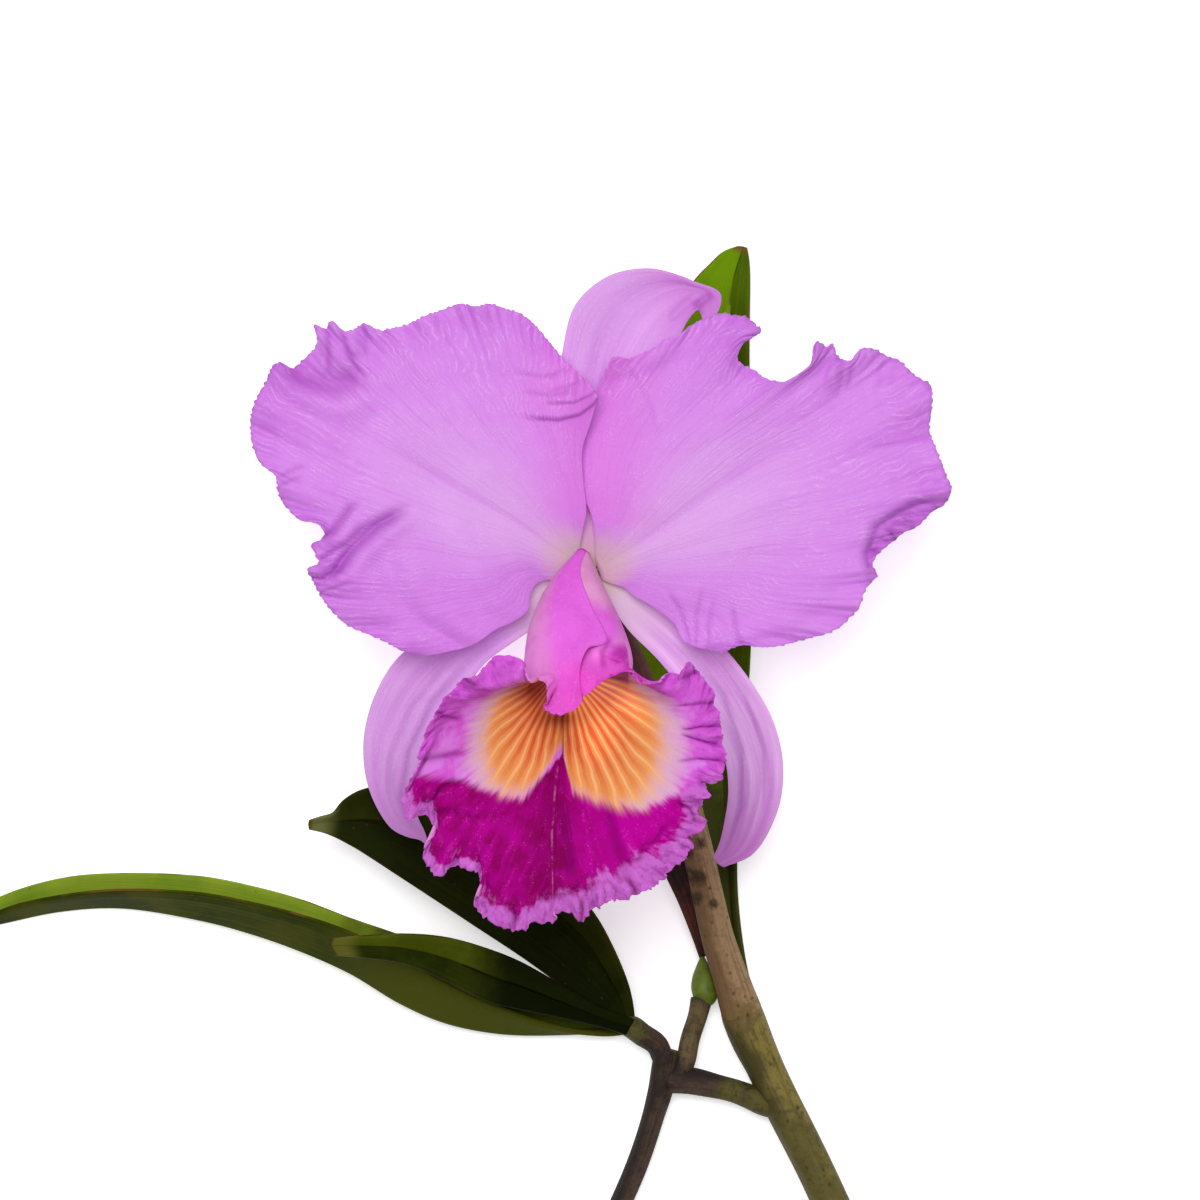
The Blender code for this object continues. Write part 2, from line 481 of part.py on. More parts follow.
def stem(name, line, radius, finish, steps, sides=STEM_SIDES):
    """A round stem along a smooth line, with closed ends."""
    centres = np.array([place for place, _ in line], float)
    keys = chord_keys(centres)
    at = np.linspace(0, keys[-1], steps + 1)
    middle = through(keys, centres, at)
    radii = radius * through(keys, np.array([[share] for _, share in line]), at)[:, 0]
    ahead = np.gradient(middle, axis=0)
    points = []
    across = None
    for centre, reach, way in zip(middle, radii, ahead):
        way = Vector(way).normalized()
        start = across or way.orthogonal()
        across = (start - way * start.dot(way)).normalized()
        up = way.cross(across)
        for side in range(sides):
            turn = 2 * math.pi * side / sides
            out = across * math.cos(turn) + up * math.sin(turn)
            points.append(np.array(centre) + np.array(out) * reach)
    faces = [tuple(range(sides))[::-1], tuple(range(steps * sides, (steps + 1) * sides))]
    for ring in range(steps):
        for side in range(sides):
            a = ring * sides + side
            b = ring * sides + (side + 1) % sides
            faces.append((a, b, b + sides, a + sides))
    made = new_object(name, points, faces, finish)
    surface = bmesh.new()
    surface.from_mesh(made.data)
    bmesh.ops.recalc_face_normals(surface, faces=surface.faces)
    surface.to_mesh(made.data)
    surface.free()
    made.data.shade_smooth()
    made.data.set_sharp_from_angle(angle=math.radians(50))
    return made


def combined(main, other, operation):
    """Adds another stem to the main one, or takes it away from it."""
    change = main.modifiers.new(operation, "BOOLEAN")
    change.operation = operation
    change.solver = "EXACT"
    change.object = other
    bpy.context.view_layer.objects.active = main
    bpy.ops.object.modifier_apply(modifier=change.name)
    bpy.data.objects.remove(other, do_unlink=True)


def build_bloom():
    left = petal_surface(LEFT_PETAL, PETAL_SPOKES, PETAL_RINGS)
    right = petal_surface(RIGHT_PETAL, PETAL_SPOKES, PETAL_RINGS)
    blade("petal_left", left, PETAL_THICKNESS, LILAC)
    blade("petal_right", right, PETAL_THICKNESS, LILAC)
    blade("sepal_dorsal", strip(DORSAL_SEPAL, SEPAL_STEPS), SEPAL_THICKNESS, PALE_LILAC)
    blade("sepal_left", strip(LEFT_SEPAL, SEPAL_STEPS), SEPAL_THICKNESS, PALE_LILAC)
    blade("sepal_right", strip(RIGHT_SEPAL, SEPAL_STEPS), SEPAL_THICKNESS, PALE_LILAC)
    blade("lip", lip_surface(LIP_SPOKES, LIP_RINGS), LIP_THICKNESS, MAGENTA)
    stem("column", COLUMN, COLUMN_RADIUS, CREAM_PINK, 10, sides=10)
    stem("flower_stalk", STALK, FLOWER_STALK_RADIUS, GREEN, 14)


def build_leaves():
    tall = pressed(creased(TALL_LEAF, TALL_LEAF_STEPS), LEAF_THICKNESS)
    blade("leaf_tall", tall, LEAF_THICKNESS, GREEN)
    blade("leaf_long", creased(LONG_LEAF, LEAF_STEPS), LEAF_THICKNESS, GREEN)
    blade("leaf_short", creased(SHORT_LEAF, LEAF_STEPS), LEAF_THICKNESS, GREEN)
    blade("leaf_rear", creased(REAR_LEAF, LEAF_STEPS), LEAF_THICKNESS, DARK_GREEN)
    blade("bract_dry", strip(BRACT, BRACT_STEPS), BRACT_THICKNESS, DARK_DRY)


def build_canes():
    stem("cane_main", CANE, CANE_RADIUS, OLIVE, CANE_STEPS, sides=CANE_SIDES)
    stem("sheath", SHEATH, SHEATH_RADIUS, DRY, 14)
    stem("bud", BUD, BUD_RADIUS, BRIGHT_GREEN, 8)
    side = stem("cane_side", SIDE_CANE, SIDE_CANE_RADIUS, BROWN, 12)
    combined(side, stem("leaf_stalk", LEAF_STALK, LEAF_STALK_RADIUS, BROWN, 6), "UNION")
    combined(side, stem("bud_stub", BUD_STUB, STUB_RADIUS, BROWN, 7), "UNION")
    combined(side, stem("rhizome", RHIZOME, RHIZOME_RADIUS, BROWN, 7), "UNION")
    # The rhizome ends in a hollow that fits round the flowering cane
    hollow = stem("hollow", CANE, CANE_RADIUS + GAP, BROWN, CANE_STEPS, sides=CANE_SIDES)
    combined(side, hollow, "DIFFERENCE")


clear_scene()
build_bloom()
build_leaves()
build_canes()
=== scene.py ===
"""A cut cattleya orchid, laid on its back: the finished petals, lip, leaves and canes.

Lists of places are in millimetres. In plan they are measured from a point just below
the flower's heart, +X to the right and +Y to the top of the flower, and +Z is the
height over the table."""

import math

import bpy
import numpy as np
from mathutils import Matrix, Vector


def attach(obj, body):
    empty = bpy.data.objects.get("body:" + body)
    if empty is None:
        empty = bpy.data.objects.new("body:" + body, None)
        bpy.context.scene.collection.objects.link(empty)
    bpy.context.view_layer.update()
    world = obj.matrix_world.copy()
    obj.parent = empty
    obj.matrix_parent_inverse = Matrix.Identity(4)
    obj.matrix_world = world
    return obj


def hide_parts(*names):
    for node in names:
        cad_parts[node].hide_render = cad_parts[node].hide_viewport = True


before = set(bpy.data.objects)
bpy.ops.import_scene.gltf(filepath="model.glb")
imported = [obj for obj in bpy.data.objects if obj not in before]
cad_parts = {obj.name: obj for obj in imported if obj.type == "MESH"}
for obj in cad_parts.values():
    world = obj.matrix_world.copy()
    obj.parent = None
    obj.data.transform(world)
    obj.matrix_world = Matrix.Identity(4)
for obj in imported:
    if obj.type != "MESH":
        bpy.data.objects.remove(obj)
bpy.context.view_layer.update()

# A millimetre in metres, and the middle of the whole object in plan
MM = 0.001
FOOT_CENTRE = (-40.4, -36.0)

# Thicknesses of the blades, heights at which they start over the ovary, and its middle
PETAL_THICKNESS = 0.75
SEPAL_THICKNESS = 0.9
LIP_THICKNESS = 0.7
LEAF_THICKNESS = 1.5
BRACT_THICKNESS = 0.6
SEAT_HEIGHT = 46.0
SEPAL_BASE = 46.9
PETAL_BASE = 48.4
HEART = (-3.2, 9.2)

# Petals in millimetres: the waves that are smoothed away for the slower forms of the
# edge, the bulge, the depth of the midrib and the sizes of the small unevenness
PETAL_WAVES = (45.0, 20.0, 6.0, 2.5)
PETAL_MIDDLE_HEIGHT = 52.0
PETAL_BULGE = 2.6
PETAL_MIDRIB = 0.8
PETAL_CREASES = 0.22
PETAL_VEINS = 0.04
PETAL_CRIMP = 0.6
PETAL_NICKS = 0.42
SMOOTHING_SWEEPS = 400

# The lip's frill: its breadth, height and lean, and its crinkles up and along
LIP_MIDDLE = (-9.5, -25.0, 70.0)
FRILL_BREADTH = 7
FRILL_HEIGHT = 1.5
FRILL_LEAN = 0.9
FRILL_NICKS = 0.5
CRINKLE_UP = 0.75
CRINKLE_ALONG = 0.35

# Fine ribs of the sepals and the bract
SEPAL_RIBS = 0.04
BRACT_RIBS = 0.12

# Petals: the side that starts at the top of the base, the far edge, and the side that
# starts at the foot of the base
LEFT_PETAL = (
    [(-5.2, 12.4, PETAL_BASE), (-4.2, 18, 50.4), (-3.4, 22, 51.6), (-4.2, 30, 53), (-4.4, 37.5, 54.4),
     (-2.5, 43.8, 57), (-0.5, 50.5, 60.2)],
    [(-0.5, 50.5, 60.2), (-1.8, 53, 58.6), (-6.2, 57.5, 55.4), (-9.5, 60.8, 54), (-13, 65, 55),
     (-16.2, 68.8, 55.6), (-20, 71.8, 54.4), (-23.8, 73, 53), (-27.5, 74.2, 54), (-31.2, 73.5, 56),
     (-35, 74.2, 54), (-40, 72.5, 53), (-43.8, 71.2, 55.5), (-48.8, 68.8, 53.5), (-52.5, 68, 56),
     (-55, 67.5, 54.5), (-59, 69.2, 57.5), (-61.2, 68, 55), (-63.8, 67.2, 56.5), (-67.3, 69.9, 59.4),
     (-68.7, 67.9, 58), (-71.6, 69, 60), (-70.9, 66.2, 58), (-71, 63.8, 56), (-75, 59.5, 55),
     (-77, 58, 56.5), (-80.2, 59.5, 59), (-82, 58.5, 58), (-83.5, 55, 56), (-86, 50.5, 57.4),
     (-87.2, 47, 56), (-87.5, 43.8, 54), (-87, 38.8, 56), (-85, 34.2, 56.6), (-81.2, 31, 58.4),
     (-80.8, 28, 57), (-79.8, 25, 55), (-77.5, 22, 55.2), (-75, 20, 57), (-70.6, 19, 59.4),
     (-69, 16.9, 58.6), (-70, 15, 57), (-72.3, 14, 56), (-71.2, 11.2, 57), (-70.4, 9.2, 58.6),
     (-73.2, 7.8, 60.4), (-72, 5, 58), (-70.5, 2, 55), (-68.5, -1.2, 55.8), (-66.2, -3.8, 54.6),
     (-62.5, -6.8, 52), (-57.5, -8.8, 53.8), (-53.8, -10.5, 54.6), (-50, -12.5, 53.4),
     (-46.4, -13.4, 51.6)],
    [(-6.6, 6.8, PETAL_BASE), (-11, 5, 49.2), (-13.8, 5, 49.6), (-16.2, 3.8, 50), (-17.5, 1.2, 50),
     (-17.8, -2, 50.4), (-19.5, -4, 51.2), (-22.5, -5.8, 51), (-26.2, -7.5, 51.8), (-30, -10.2, 52.6),
     (-33.8, -12, 51.2), (-37.5, -12.8, 52.4), (-42.5, -13.8, 52), (-46.4, -13.4, 51.6)],
)
RIGHT_PETAL = (
    [(-1.2, 10.4, PETAL_BASE), (-1.2, 16, 49.6), (-2.2, 21.4, 50.2), (-4.8, 27.5, 50.4), (-6.2, 35, 50.4),
     (-6, 40, 50.6), (-3.6, 45.5, 51.2), (-1.4, 50, 52), (-0.2, 53.8, 53), (1, 57, 54.6), (3, 60.6, 56)],
    [(3, 60.6, 56), (5, 60.8, 55), (7, 60.3, 54), (10, 61.5, 53.2), (13.8, 63.2, 53.5), (16.2, 65.2, 54.4),
     (19.5, 66.2, 55), (22.5, 68.5, 54), (25, 70, 53.2), (28, 71, 53.5), (30.5, 71.8, 54.6),
     (33.8, 71.2, 55.6), (36.2, 71, 56), (39.2, 68.8, 58), (40.4, 67.4, 58.8), (38.8, 66, 58),
     (36.2, 64.5, 57), (34.8, 62.5, 55.6), (34.4, 60.4, 54.2), (35.6, 59, 53.4), (38.8, 57.5, 53),
     (41.2, 55.6, 53.4), (45, 54.6, 54), (48.8, 54.4, 55), (50.6, 55.4, 56), (52.4, 57.6, 57.6),
     (53.2, 60.5, 59), (53.4, 63.4, 60.2), (54.4, 64.8, 60.6), (56.8, 63.4, 58.6), (58.2, 64.2, 57.6),
     (59.6, 61, 55.6), (62.5, 59.8, 56), (64.2, 61.8, 57.8), (65.5, 63, 57.2), (68.8, 62.8, 56),
     (72, 61, 54.4), (75, 60, 54), (77.5, 57.5, 55.4), (80, 55.5, 56), (82.5, 54.2, 55.6),
     (83.2, 51.2, 57), (83, 47.5, 55), (82.5, 42.5, 53), (83.8, 38.8, 54.6), (85.5, 34.5, 55),
     (87, 30.5, 54.4), (88, 28, 56.4), (86.5, 24.2, 55.4), (83, 22, 54), (81.2, 20, 55), (78.8, 18, 56),
     (76.2, 17, 54.6), (73.8, 15, 54), (71.2, 13, 55), (69.2, 11, 56.4), (68.2, 8.8, 57),
     (69.5, 6.2, 55.4), (68, 4.5, 54), (66.2, 2, 55.2), (65.5, -0.5, 56), (64.5, -2.5, 54.4),
     (62.5, -4.5, 53), (60.5, -6.5, 54.4), (57.5, -8.2, 55), (53.8, -9.2, 53.2), (50, -10.2, 52),
     (45, -11.5, 53.2), (40, -11.8, 54), (36.2, -11.2, 55), (33.8, -11.8, 53.6), (30.5, -13.2, 52)],
    [(0.6, 5, PETAL_BASE), (3.2, 4, 48.9), (6.2, 3, 49.2), (8.8, 0.8, 49.8), (12.5, -1.2, 50.4),
     (16.2, -3.8, 50.4), (18.8, -6.2, 50.6), (20.5, -10, 51.4), (22.5, -11.2, 52), (25, -12, 52.4),
     (28, -12.5, 51.8), (30.5, -13.2, 52)],
)

# Sepals: one edge, the middle line and the other edge, from the base to the tip
DORSAL_SEPAL = (
    [(-5.4, 8.4, SEPAL_BASE + 0.4), (-8.4, 30, 46), (-10.6, 50, 45), (-9.4, 62, 44.5), (-6.2, 73.8, 45.5),
     (2, 81, 45), (12, 83, 44), (20, 81.2, 44), (24, 79.5, 44.6), (28.4, 78, 45.8), (30, 76.8, 46.8),
     (30.3, 75, 47.6), (29.8, 73, 48.2), (28.6, 70.4, 48.4)],
    [(-3, 8.4, SEPAL_BASE + 0.2), (-1, 30, 44.6), (2, 50, 42.4), (4.8, 61, 41), (9, 69, 40.8),
     (14, 74, 40.8), (19, 76.8, 41.5), (24, 77, 43.5), (26.6, 76, 45), (27.7, 74.4, 46.4),
     (27.8, 72.4, 47.4), (27.2, 69.8, 48)],
    [(-0.2, 8.4, SEPAL_BASE + 0.4), (6.5, 30, 46), (14, 50, 44.6), (18, 60, 43.5), (20, 66, 43.5),
     (22, 70.2, 44), (23.9, 72.6, 45.2), (24.7, 72.6, 46.2), (25.3, 71.4, 47), (25.8, 69.6, 47.6)],
)
LEFT_SEPAL = (
    [(-8.2, 8.8, SEPAL_BASE), (-17.4, 6, 46.2), (-28, -1.4, 45), (-39, -7.2, 43), (-49.5, -13.4, 40.5),
     (-56, -23, 37.5), (-59.2, -35, 33.5), (-58, -47, 29.5), (-52.6, -57, 26), (-48.4, -59.4, 25),
     (-45.2, -60.2, 24.6), (-43.5, -61.4, 24.4)],
    [(-7.2, 6.6, SEPAL_BASE), (-14.8, -1, 45), (-24.5, -7.6, 43), (-34, -13.6, 40.4), (-43, -22, 37),
     (-49, -31, 33.4), (-52.4, -39.6, 30.4), (-53, -48, 27.8), (-50, -55, 25.7), (-46.2, -58.4, 24.8),
     (-43.3, -61.5, 24.4)],
    [(-5.6, 5.2, SEPAL_BASE), (-12.5, -4, 46), (-21, -10, 44.8), (-28.6, -15.6, 43), (-35, -24, 40.5),
     (-41.4, -32.4, 37.4), (-45.2, -40.4, 34), (-47.4, -48.6, 30), (-45.6, -54.6, 26.6),
     (-43.9, -58.2, 25.2), (-43, -61.4, 24.5)],
)
RIGHT_SEPAL = (
    [(1.8, 8.4, SEPAL_BASE), (12, 3, 46.2), (22, -3.6, 45), (31, -12, 43), (38, -20.8, 40.5),
     (43.4, -30.5, 37.5), (45.8, -41.2, 33.5), (44.6, -52.5, 29.5), (38.4, -63.6, 26.5), (31, -67, 25)],
    [(1, 6.2, SEPAL_BASE), (9.5, -0.6, 45), (18.5, -8.4, 43), (26.6, -17, 40.2), (32.6, -26, 37),
     (37, -35, 33.2), (39, -44, 29.6), (38, -54, 27), (34.2, -62.6, 25), (29.4, -66, 24.6)],
    [(-0.6, 5, SEPAL_BASE), (6.4, -6.6, 46), (14.4, -14.8, 44.8), (21.4, -23.4, 43), (27.2, -31.6, 40.4),
     (31.2, -39.6, 37), (32.2, -47.4, 33), (31.4, -54.6, 29.6), (29.8, -61.4, 27), (28.4, -64.6, 26)],
)

# Lip: places round its sections, in order from its narrow base to its rim. FLAP_TURN and
# FLAP_OVERLAP are the angles of a tube's section and how far it lies out of the round
FLAP_TURN = [60, 95, 135, 180, 225, 270, 315, 360, 398, 420, 438]
FLAP_OVERLAP = [-0.3, -0.05, 0.1, 0, 0, 0, 0, 0, -0.25, -0.5, -0.55]
LIP_TUBE = [
    ((-4.3, 10, 51.6), 1.9, 3.3, 58, 0),
    ((-6, 2.8, 56.5), 6.8, 6.5, 38, 20),
    ((-6, -6.2, 61.5), 11.1, 9, 33, 8),
    ((-5.4, -15, 67), 13.2, 11.5, 33, -5),
]
LIP_THROAT = [
    (-2.8, -11.8, 81), (-7.4, -14.8, 82.4), (-13, -17, 80), (-18.8, -22.5, 72), (-16.2, -30, 64.5),
    (-10, -33.8, 62), (-2.5, -30.5, 63.5), (7, -23.8, 71), (6.4, -16, 78.6), (1, -13.4, 80),
    (-6, -15.4, 80.4),
]
LIP_BOWL = [
    (-4.8, -16.2, 84.2), (-8.4, -20.6, 85), (-13.8, -18.8, 83), (-27.5, -25, 77), (-25, -37.5, 71.5),
    (-10.8, -43.8, 71), (3.8, -37.5, 71.5), (13.8, -26.2, 76.5), (8.5, -18, 82),
    (2.8, -16.8, 83), (-5.6, -18.6, 82.8),
]
LIP_SKIRT = [
    (-5, -20.6, 85.8), (-9.6, -25, 86.6), (-15, -19.5, 85.4), (-36.2, -26.2, 83),
    (-38.2, -47.5, 80.5), (-11.8, -62.5, 81), (10, -55, 80.5), (23, -30, 82), (10.5, -19.4, 85),
    (5, -18.2, 84.8), (-5.2, -21.4, 84.4),
]
LIP_RIM = [
    [(-4.2, -24.2, 86), (-5.5, -27, 87), (-10, -28.8, 88)],
    [(-12, -28.5, 87.6), (-14.2, -27.2, 87), (-13.5, -25, 87.8), (-13.2, -22.5, 87), (-14.2, -20.2, 86.2),
     (-16.2, -20, 87)],
    [(-17.8, -20.2, 87.8), (-18.8, -18, 86.2), (-18.8, -15.8, 84.8), (-20.5, -14.2, 85),
     (-23.8, -13.8, 86.4), (-26.2, -14, 86), (-28.2, -15.5, 84.6), (-30, -18, 86), (-32.5, -19.5, 87.8),
     (-34.5, -19.8, 86), (-36.2, -21.2, 84.6), (-37, -23, 86), (-38.8, -24.2, 87.6), (-40, -25.8, 86.5)],
    [(-40.8, -28, 85), (-42.5, -30.5, 87.3), (-43.8, -33.8, 85.5), (-45, -37.5, 84), (-45.8, -42.5, 86.3),
     (-47.5, -45, 84.2), (-49.3, -49.6, 82.6), (-49.3, -52.6, 83.6), (-48, -54.8, 82), (-44.4, -54, 80),
     (-42, -55, 80.6), (-41, -57, 81.6), (-41.4, -59, 81.4)],
    [(-42.8, -60, 82.6), (-43.8, -62, 82), (-44, -64.5, 80), (-42.5, -67, 81), (-40.8, -69.2, 82.6),
     (-38.8, -68.2, 80.6), (-36.2, -66.4, 79), (-33.8, -67.2, 80), (-31.2, -68, 79.2), (-29.7, -70, 78),
     (-29.6, -72.5, 79.2), (-31, -74.2, 80.6), (-31.4, -76.2, 79.2), (-30, -78.2, 77.6), (-27, -80.5, 79),
     (-25, -81.8, 80), (-20, -82.5, 77.4), (-17.6, -82, 78.8), (-17, -80.6, 79.6), (-13.8, -80.8, 77.4),
     (-11.2, -80, 78), (-10.6, -78.4, 79.2)],
    [(-7.5, -78, 77.6), (-6.2, -79.2, 79), (-4.8, -80.6, 79.6), (-3, -79, 77.6), (-2.2, -77.4, 76.8),
     (0, -76.8, 78.8), (2.5, -75.2, 79.6), (5.5, -75, 77.6), (8.8, -73.8, 79), (12, -72.5, 80.6),
     (13.8, -71.6, 79.2), (15.5, -69.8, 77.6), (18.8, -67, 79.4), (20.8, -65, 78.4), (22.5, -63, 80),
     (23.6, -60.8, 81.6)],
    [(21.6, -59.6, 79.4), (23.8, -58.6, 78.4), (25.8, -57.5, 80), (26.4, -55, 81.6), (25, -54, 80),
     (24.4, -52.5, 79.4), (25.4, -51, 81), (25.4, -49.6, 82.6), (27.6, -49.2, 83.6), (27, -47.6, 82),
     (26.5, -46, 80.6), (28.6, -45.6, 82), (30.4, -44.6, 83.6), (31, -42.2, 82), (31.5, -38.8, 83.8),
     (30.6, -36.2, 82.6), (30.8, -33.8, 84.8), (30, -30.5, 83.2), (29.8, -28, 85.2), (28.6, -25.6, 83.6),
     (28.5, -22.5, 85.8)],
    [(27, -21.2, 84.2), (25.6, -18.8, 85.8), (23.8, -17, 84.4), (22, -15.4, 86.8), (21, -17, 87.6),
     (19.8, -18.6, 86), (18, -18, 84.4), (16.4, -18.8, 86), (15.6, -20.2, 87.6), (13.6, -20.8, 86.2),
     (10, -20.8, 87)],
    [(9.2, -19.4, 87.6), (8, -17.8, 87), (6.2, -17.6, 86)],
    [(3, -19, 86), (0, -20.6, 85.6), (-2.6, -23, 85), (-5, -24.6, 84.8)],
]
# Shares of the lip's length at which its sections lie
LIP_PLACES = [0, 0.13, 0.26, 0.4, 0.55, 0.7, 0.86, 1]

# Leaves: one edge, the keel and the other edge, from the base to the tip
TALL_LEAF = (
    [(31, -99, 2.4), (27.5, -85, 3), (20, -65, 4.4), (8, -40, 6), (0.5, -15, 7), (0, 8, 7.4), (6, 35, 7.4),
     (17, 58, 7), (21.4, 74.4, 6.6), (23.4, 79.8, 6.2), (27.4, 84.2, 5.4), (31, 87.5, 4.4),
     (34.6, 88.9, 3.6)],
    [(34.8, -99, 1.2), (33, -85, -0.6), (31.6, -65, -2), (30.4, -40, -2.6), (30, -15, -2.6),
     (30.2, 8, -2.6), (31, 35, -2.4), (31.6, 58, -1.6), (32.4, 72, 0), (33.6, 80, 1.3), (35, 85.4, 2.2),
     (36, 88.8, 3.2)],
    [(38.4, -99, 2.8), (36, -88, 3.4), (34.2, -70, 3.8), (35.6, -45, 4.6), (37.6, -15, 5.2),
     (38.4, 8, 5.4), (38, 35, 5.4), (37.4, 58, 5.2), (37.5, 72, 5), (37.6, 82, 4.4), (37.3, 86.2, 3.8),
     (37, 88.5, 3.2)],
)
LONG_LEAF = (
    [(6.1, -109.2, 4.8), (1, -109.4, 5.4), (-10, -107.4, 7.4), (-25, -102.2, 11), (-38.5, -96, 14),
     (-50, -89.2, 16), (-62.5, -83.3, 17), (-75, -79, 16.6), (-87.5, -75.9, 15.6), (-100, -73.6, 14.4),
     (-120, -72.7, 11.8), (-135, -74.2, 9.6), (-150, -77.8, 6.8), (-160, -84.2, 2.6), (-168, -87.8, 1.5)],
    [(7.3, -107.2, 3.9), (1, -107.9, 3.4), (-10, -108.8, 3), (-25, -108.8, 3), (-38.5, -106.4, 3.4),
     (-50, -101.6, 3.8), (-62.5, -94, 4), (-75, -88.3, 3.8), (-87.5, -83.8, 3.2), (-100, -80.4, 2.4),
     (-120, -77.1, 0.8), (-135, -77.8, 0.6), (-150, -80.8, 0.6), (-160, -83, 0.9), (-168.4, -87, 1.1)],
    [(8.5, -105.2, 4.2), (1, -104.4, 4.4), (-10, -101, 5.4), (-25, -95.4, 7), (-38.5, -88.8, 8),
     (-50, -84.2, 7.6), (-62.5, -79.9, 7), (-75, -75.2, 6.2), (-87.5, -71.8, 5.2), (-100, -69.4, 4),
     (-120, -68.6, 2.6), (-135, -69.8, 2.2), (-150, -74.2, 2), (-160, -79.8, 1.8), (-168.8, -86, 1.5)],
)
SHORT_LEAF = (
    [(8.6, -105.2, 9.1), (0, -102, 10.4), (-10, -96.3, 13.4), (-20, -90.7, 17), (-28, -87.5, 19.6),
     (-38.5, -84.6, 22.4), (-48.8, -83.7, 24), (-58.8, -84.1, 24.6), (-67.4, -84.9, 24.6)],
    [(7.5, -107.2, 8.7), (0, -104.8, 9.8), (-10, -100.9, 12.2), (-20, -97, 15), (-28, -94.2, 17),
     (-38.5, -90, 19.6), (-48.8, -87.2, 21.8), (-58.8, -86.6, 23.4), (-68, -86.6, 24.4)],
    [(6.4, -109.2, 9.1), (0, -107.2, 10.2), (-10, -104.8, 12.8), (-20, -102.7, 16), (-28, -100.8, 18),
     (-38.5, -95.6, 21), (-48.8, -91.2, 23.4), (-58.8, -89.8, 24.6), (-66.4, -89.1, 24.8)],
)
REAR_LEAF = (
    [(6.6, -108.6, 6.6), (3, -105.8, 6.9), (-1, -102.3, 8.2), (-10, -96.5, 10.6), (-19.5, -89.7, 12.4),
     (-32.5, -81.1, 14.4), (-50, -69.6, 16), (-62.5, -61.6, 17), (-68.8, -58.6, 17.2), (-73, -57.6, 17.4)],
    [(7.6, -107, 6.3), (6.2, -102, 6), (3.2, -96, 6.2), (-4, -85, 7), (-16, -75, 8.6), (-32, -65, 10.6),
     (-47, -57.6, 12.6), (-58, -55.2, 14.4), (-67, -55.4, 16.4), (-73.2, -56.4, 17.3)],
    [(8.8, -105.2, 6.6), (8.2, -101, 7.4), (6.9, -96, 9), (3.4, -87.5, 11), (-2, -78, 13),
     (-13.8, -65.6, 15.4), (-30, -54, 17), (-46, -46.8, 18), (-59, -47.4, 18.8), (-64.4, -50.3, 18.6),
     (-66.9, -53.5, 18.2), (-70, -54.4, 18), (-73, -55.3, 17.9)],
)
BRACT = (
    [(25, -90, 4.6), (23.2, -85, 5.2), (19.6, -76, 6.6), (16, -68.4, 8.8), (12.2, -60, 11.8)],
    [(26.2, -89.6, 3.9), (25.3, -84, 4.8), (22.6, -74.6, 6.2), (19.2, -66.2, 8.2), (15.4, -58, 11.2)],
    [(28.4, -88.8, 4.2), (28.6, -82.6, 5.4), (27, -72.6, 6.6), (24.2, -63.6, 8.8), (20, -55.8, 11.8)],
)

# Canes and stalks: places on the middle line, each with its radius
CANE = [
    ((61.6, -159.4, 4.85), 4.8), ((56, -147, 4.85), 4.65), ((47, -129, 4.9), 4.75),
    ((41.4, -117, 5.2), 4.75), ((38.2, -110.6, 5.7), 5.2), ((36, -104.8, 6), 5.3),
    ((35, -101, 6.2), 4.9),
]
SIDE_CANE = [
    ((1.6, -160, 2.72), 2.7), ((8.2, -144.6, 3.2), 2.75), ((13.4, -130, 3.8), 2.8),
    ((15, -124, 4.3), 3.1), ((16, -118, 4.8), 3.2), ((17, -112.8, 5.2), 3),
]
LEAF_STALK = [
    ((16.6, -117, 5), 2.6), ((14.4, -112, 5.4), 2.8), ((10.6, -109, 6.2), 2.9), ((8, -107.4, 6.5), 2.9),
    ((5.2, -106.4, 6.6), 2.2),
]
BUD_STUB = [
    ((18, -122, 5), 2.6), ((21, -117, 5.6), 2.5), ((22.6, -111, 5.8), 2.45),
    ((24.4, -104.6, 5.8), 2.45), ((25.6, -100.4, 5.5), 2.75),
]
RHIZOME = [
    ((17, -120.6, 4.8), 3.3), ((24, -121, 4.9), 3.4), ((31, -122.6, 4.9), 3),
    ((37, -124.6, 4.9), 3.1), ((41.4, -126.2, 4.9), 3.4),
    ((45.4, -127.6, 4.9), 3.2),
]
BUD = [
    ((26.6, -101.8, 5.6), 1.6), ((26.6, -100.2, 5.6), 2.8), ((26.3, -97.4, 5.4), 3.4),
    ((26, -94.4, 5.2), 2.8), ((25.8, -92, 5), 1.7), ((25.7, -89.6, 4.9), 0.5),
]
SHEATH = [
    ((35.6, -103.4, 6.8), 5), ((34.5, -100.2, 8.1), 4.7), ((33, -95.4, 9.6), 4.3),
    ((29.8, -85.6, 11), 4.05), ((27.2, -75, 13), 3.95), ((24.3, -62, 16), 3.75),
    ((20.8, -48, 19.8), 3.35), ((17.8, -37, 23), 2.8),
]
STALK = [
    ((17.6, -36.2, 23.3), 2), ((14.4, -27, 26.6), 2.1), ((8.6, -14, 32), 2.3),
    ((2.2, -1.8, 36.6), 2.8), ((-2, 6.8, 39.8), 3.3), ((-3.1, 9.1, 42.6), 4),
    ((*HEART, 44.6), 4.4), ((*HEART, SEAT_HEIGHT), 4.6),
]
COLUMN = [
    ((*HEART, 46.35), 1.7), ((-3.5, 9.3, 50), 1.7), ((-4.4, 7.2, 54), 1.9),
    ((-5.4, 2.4, 57.6), 2.4), ((-6.1, -4, 61.6), 2.9), ((-6.4, -9.4, 65), 3),
    ((-6.5, -11.6, 66.4), 1.7),
]

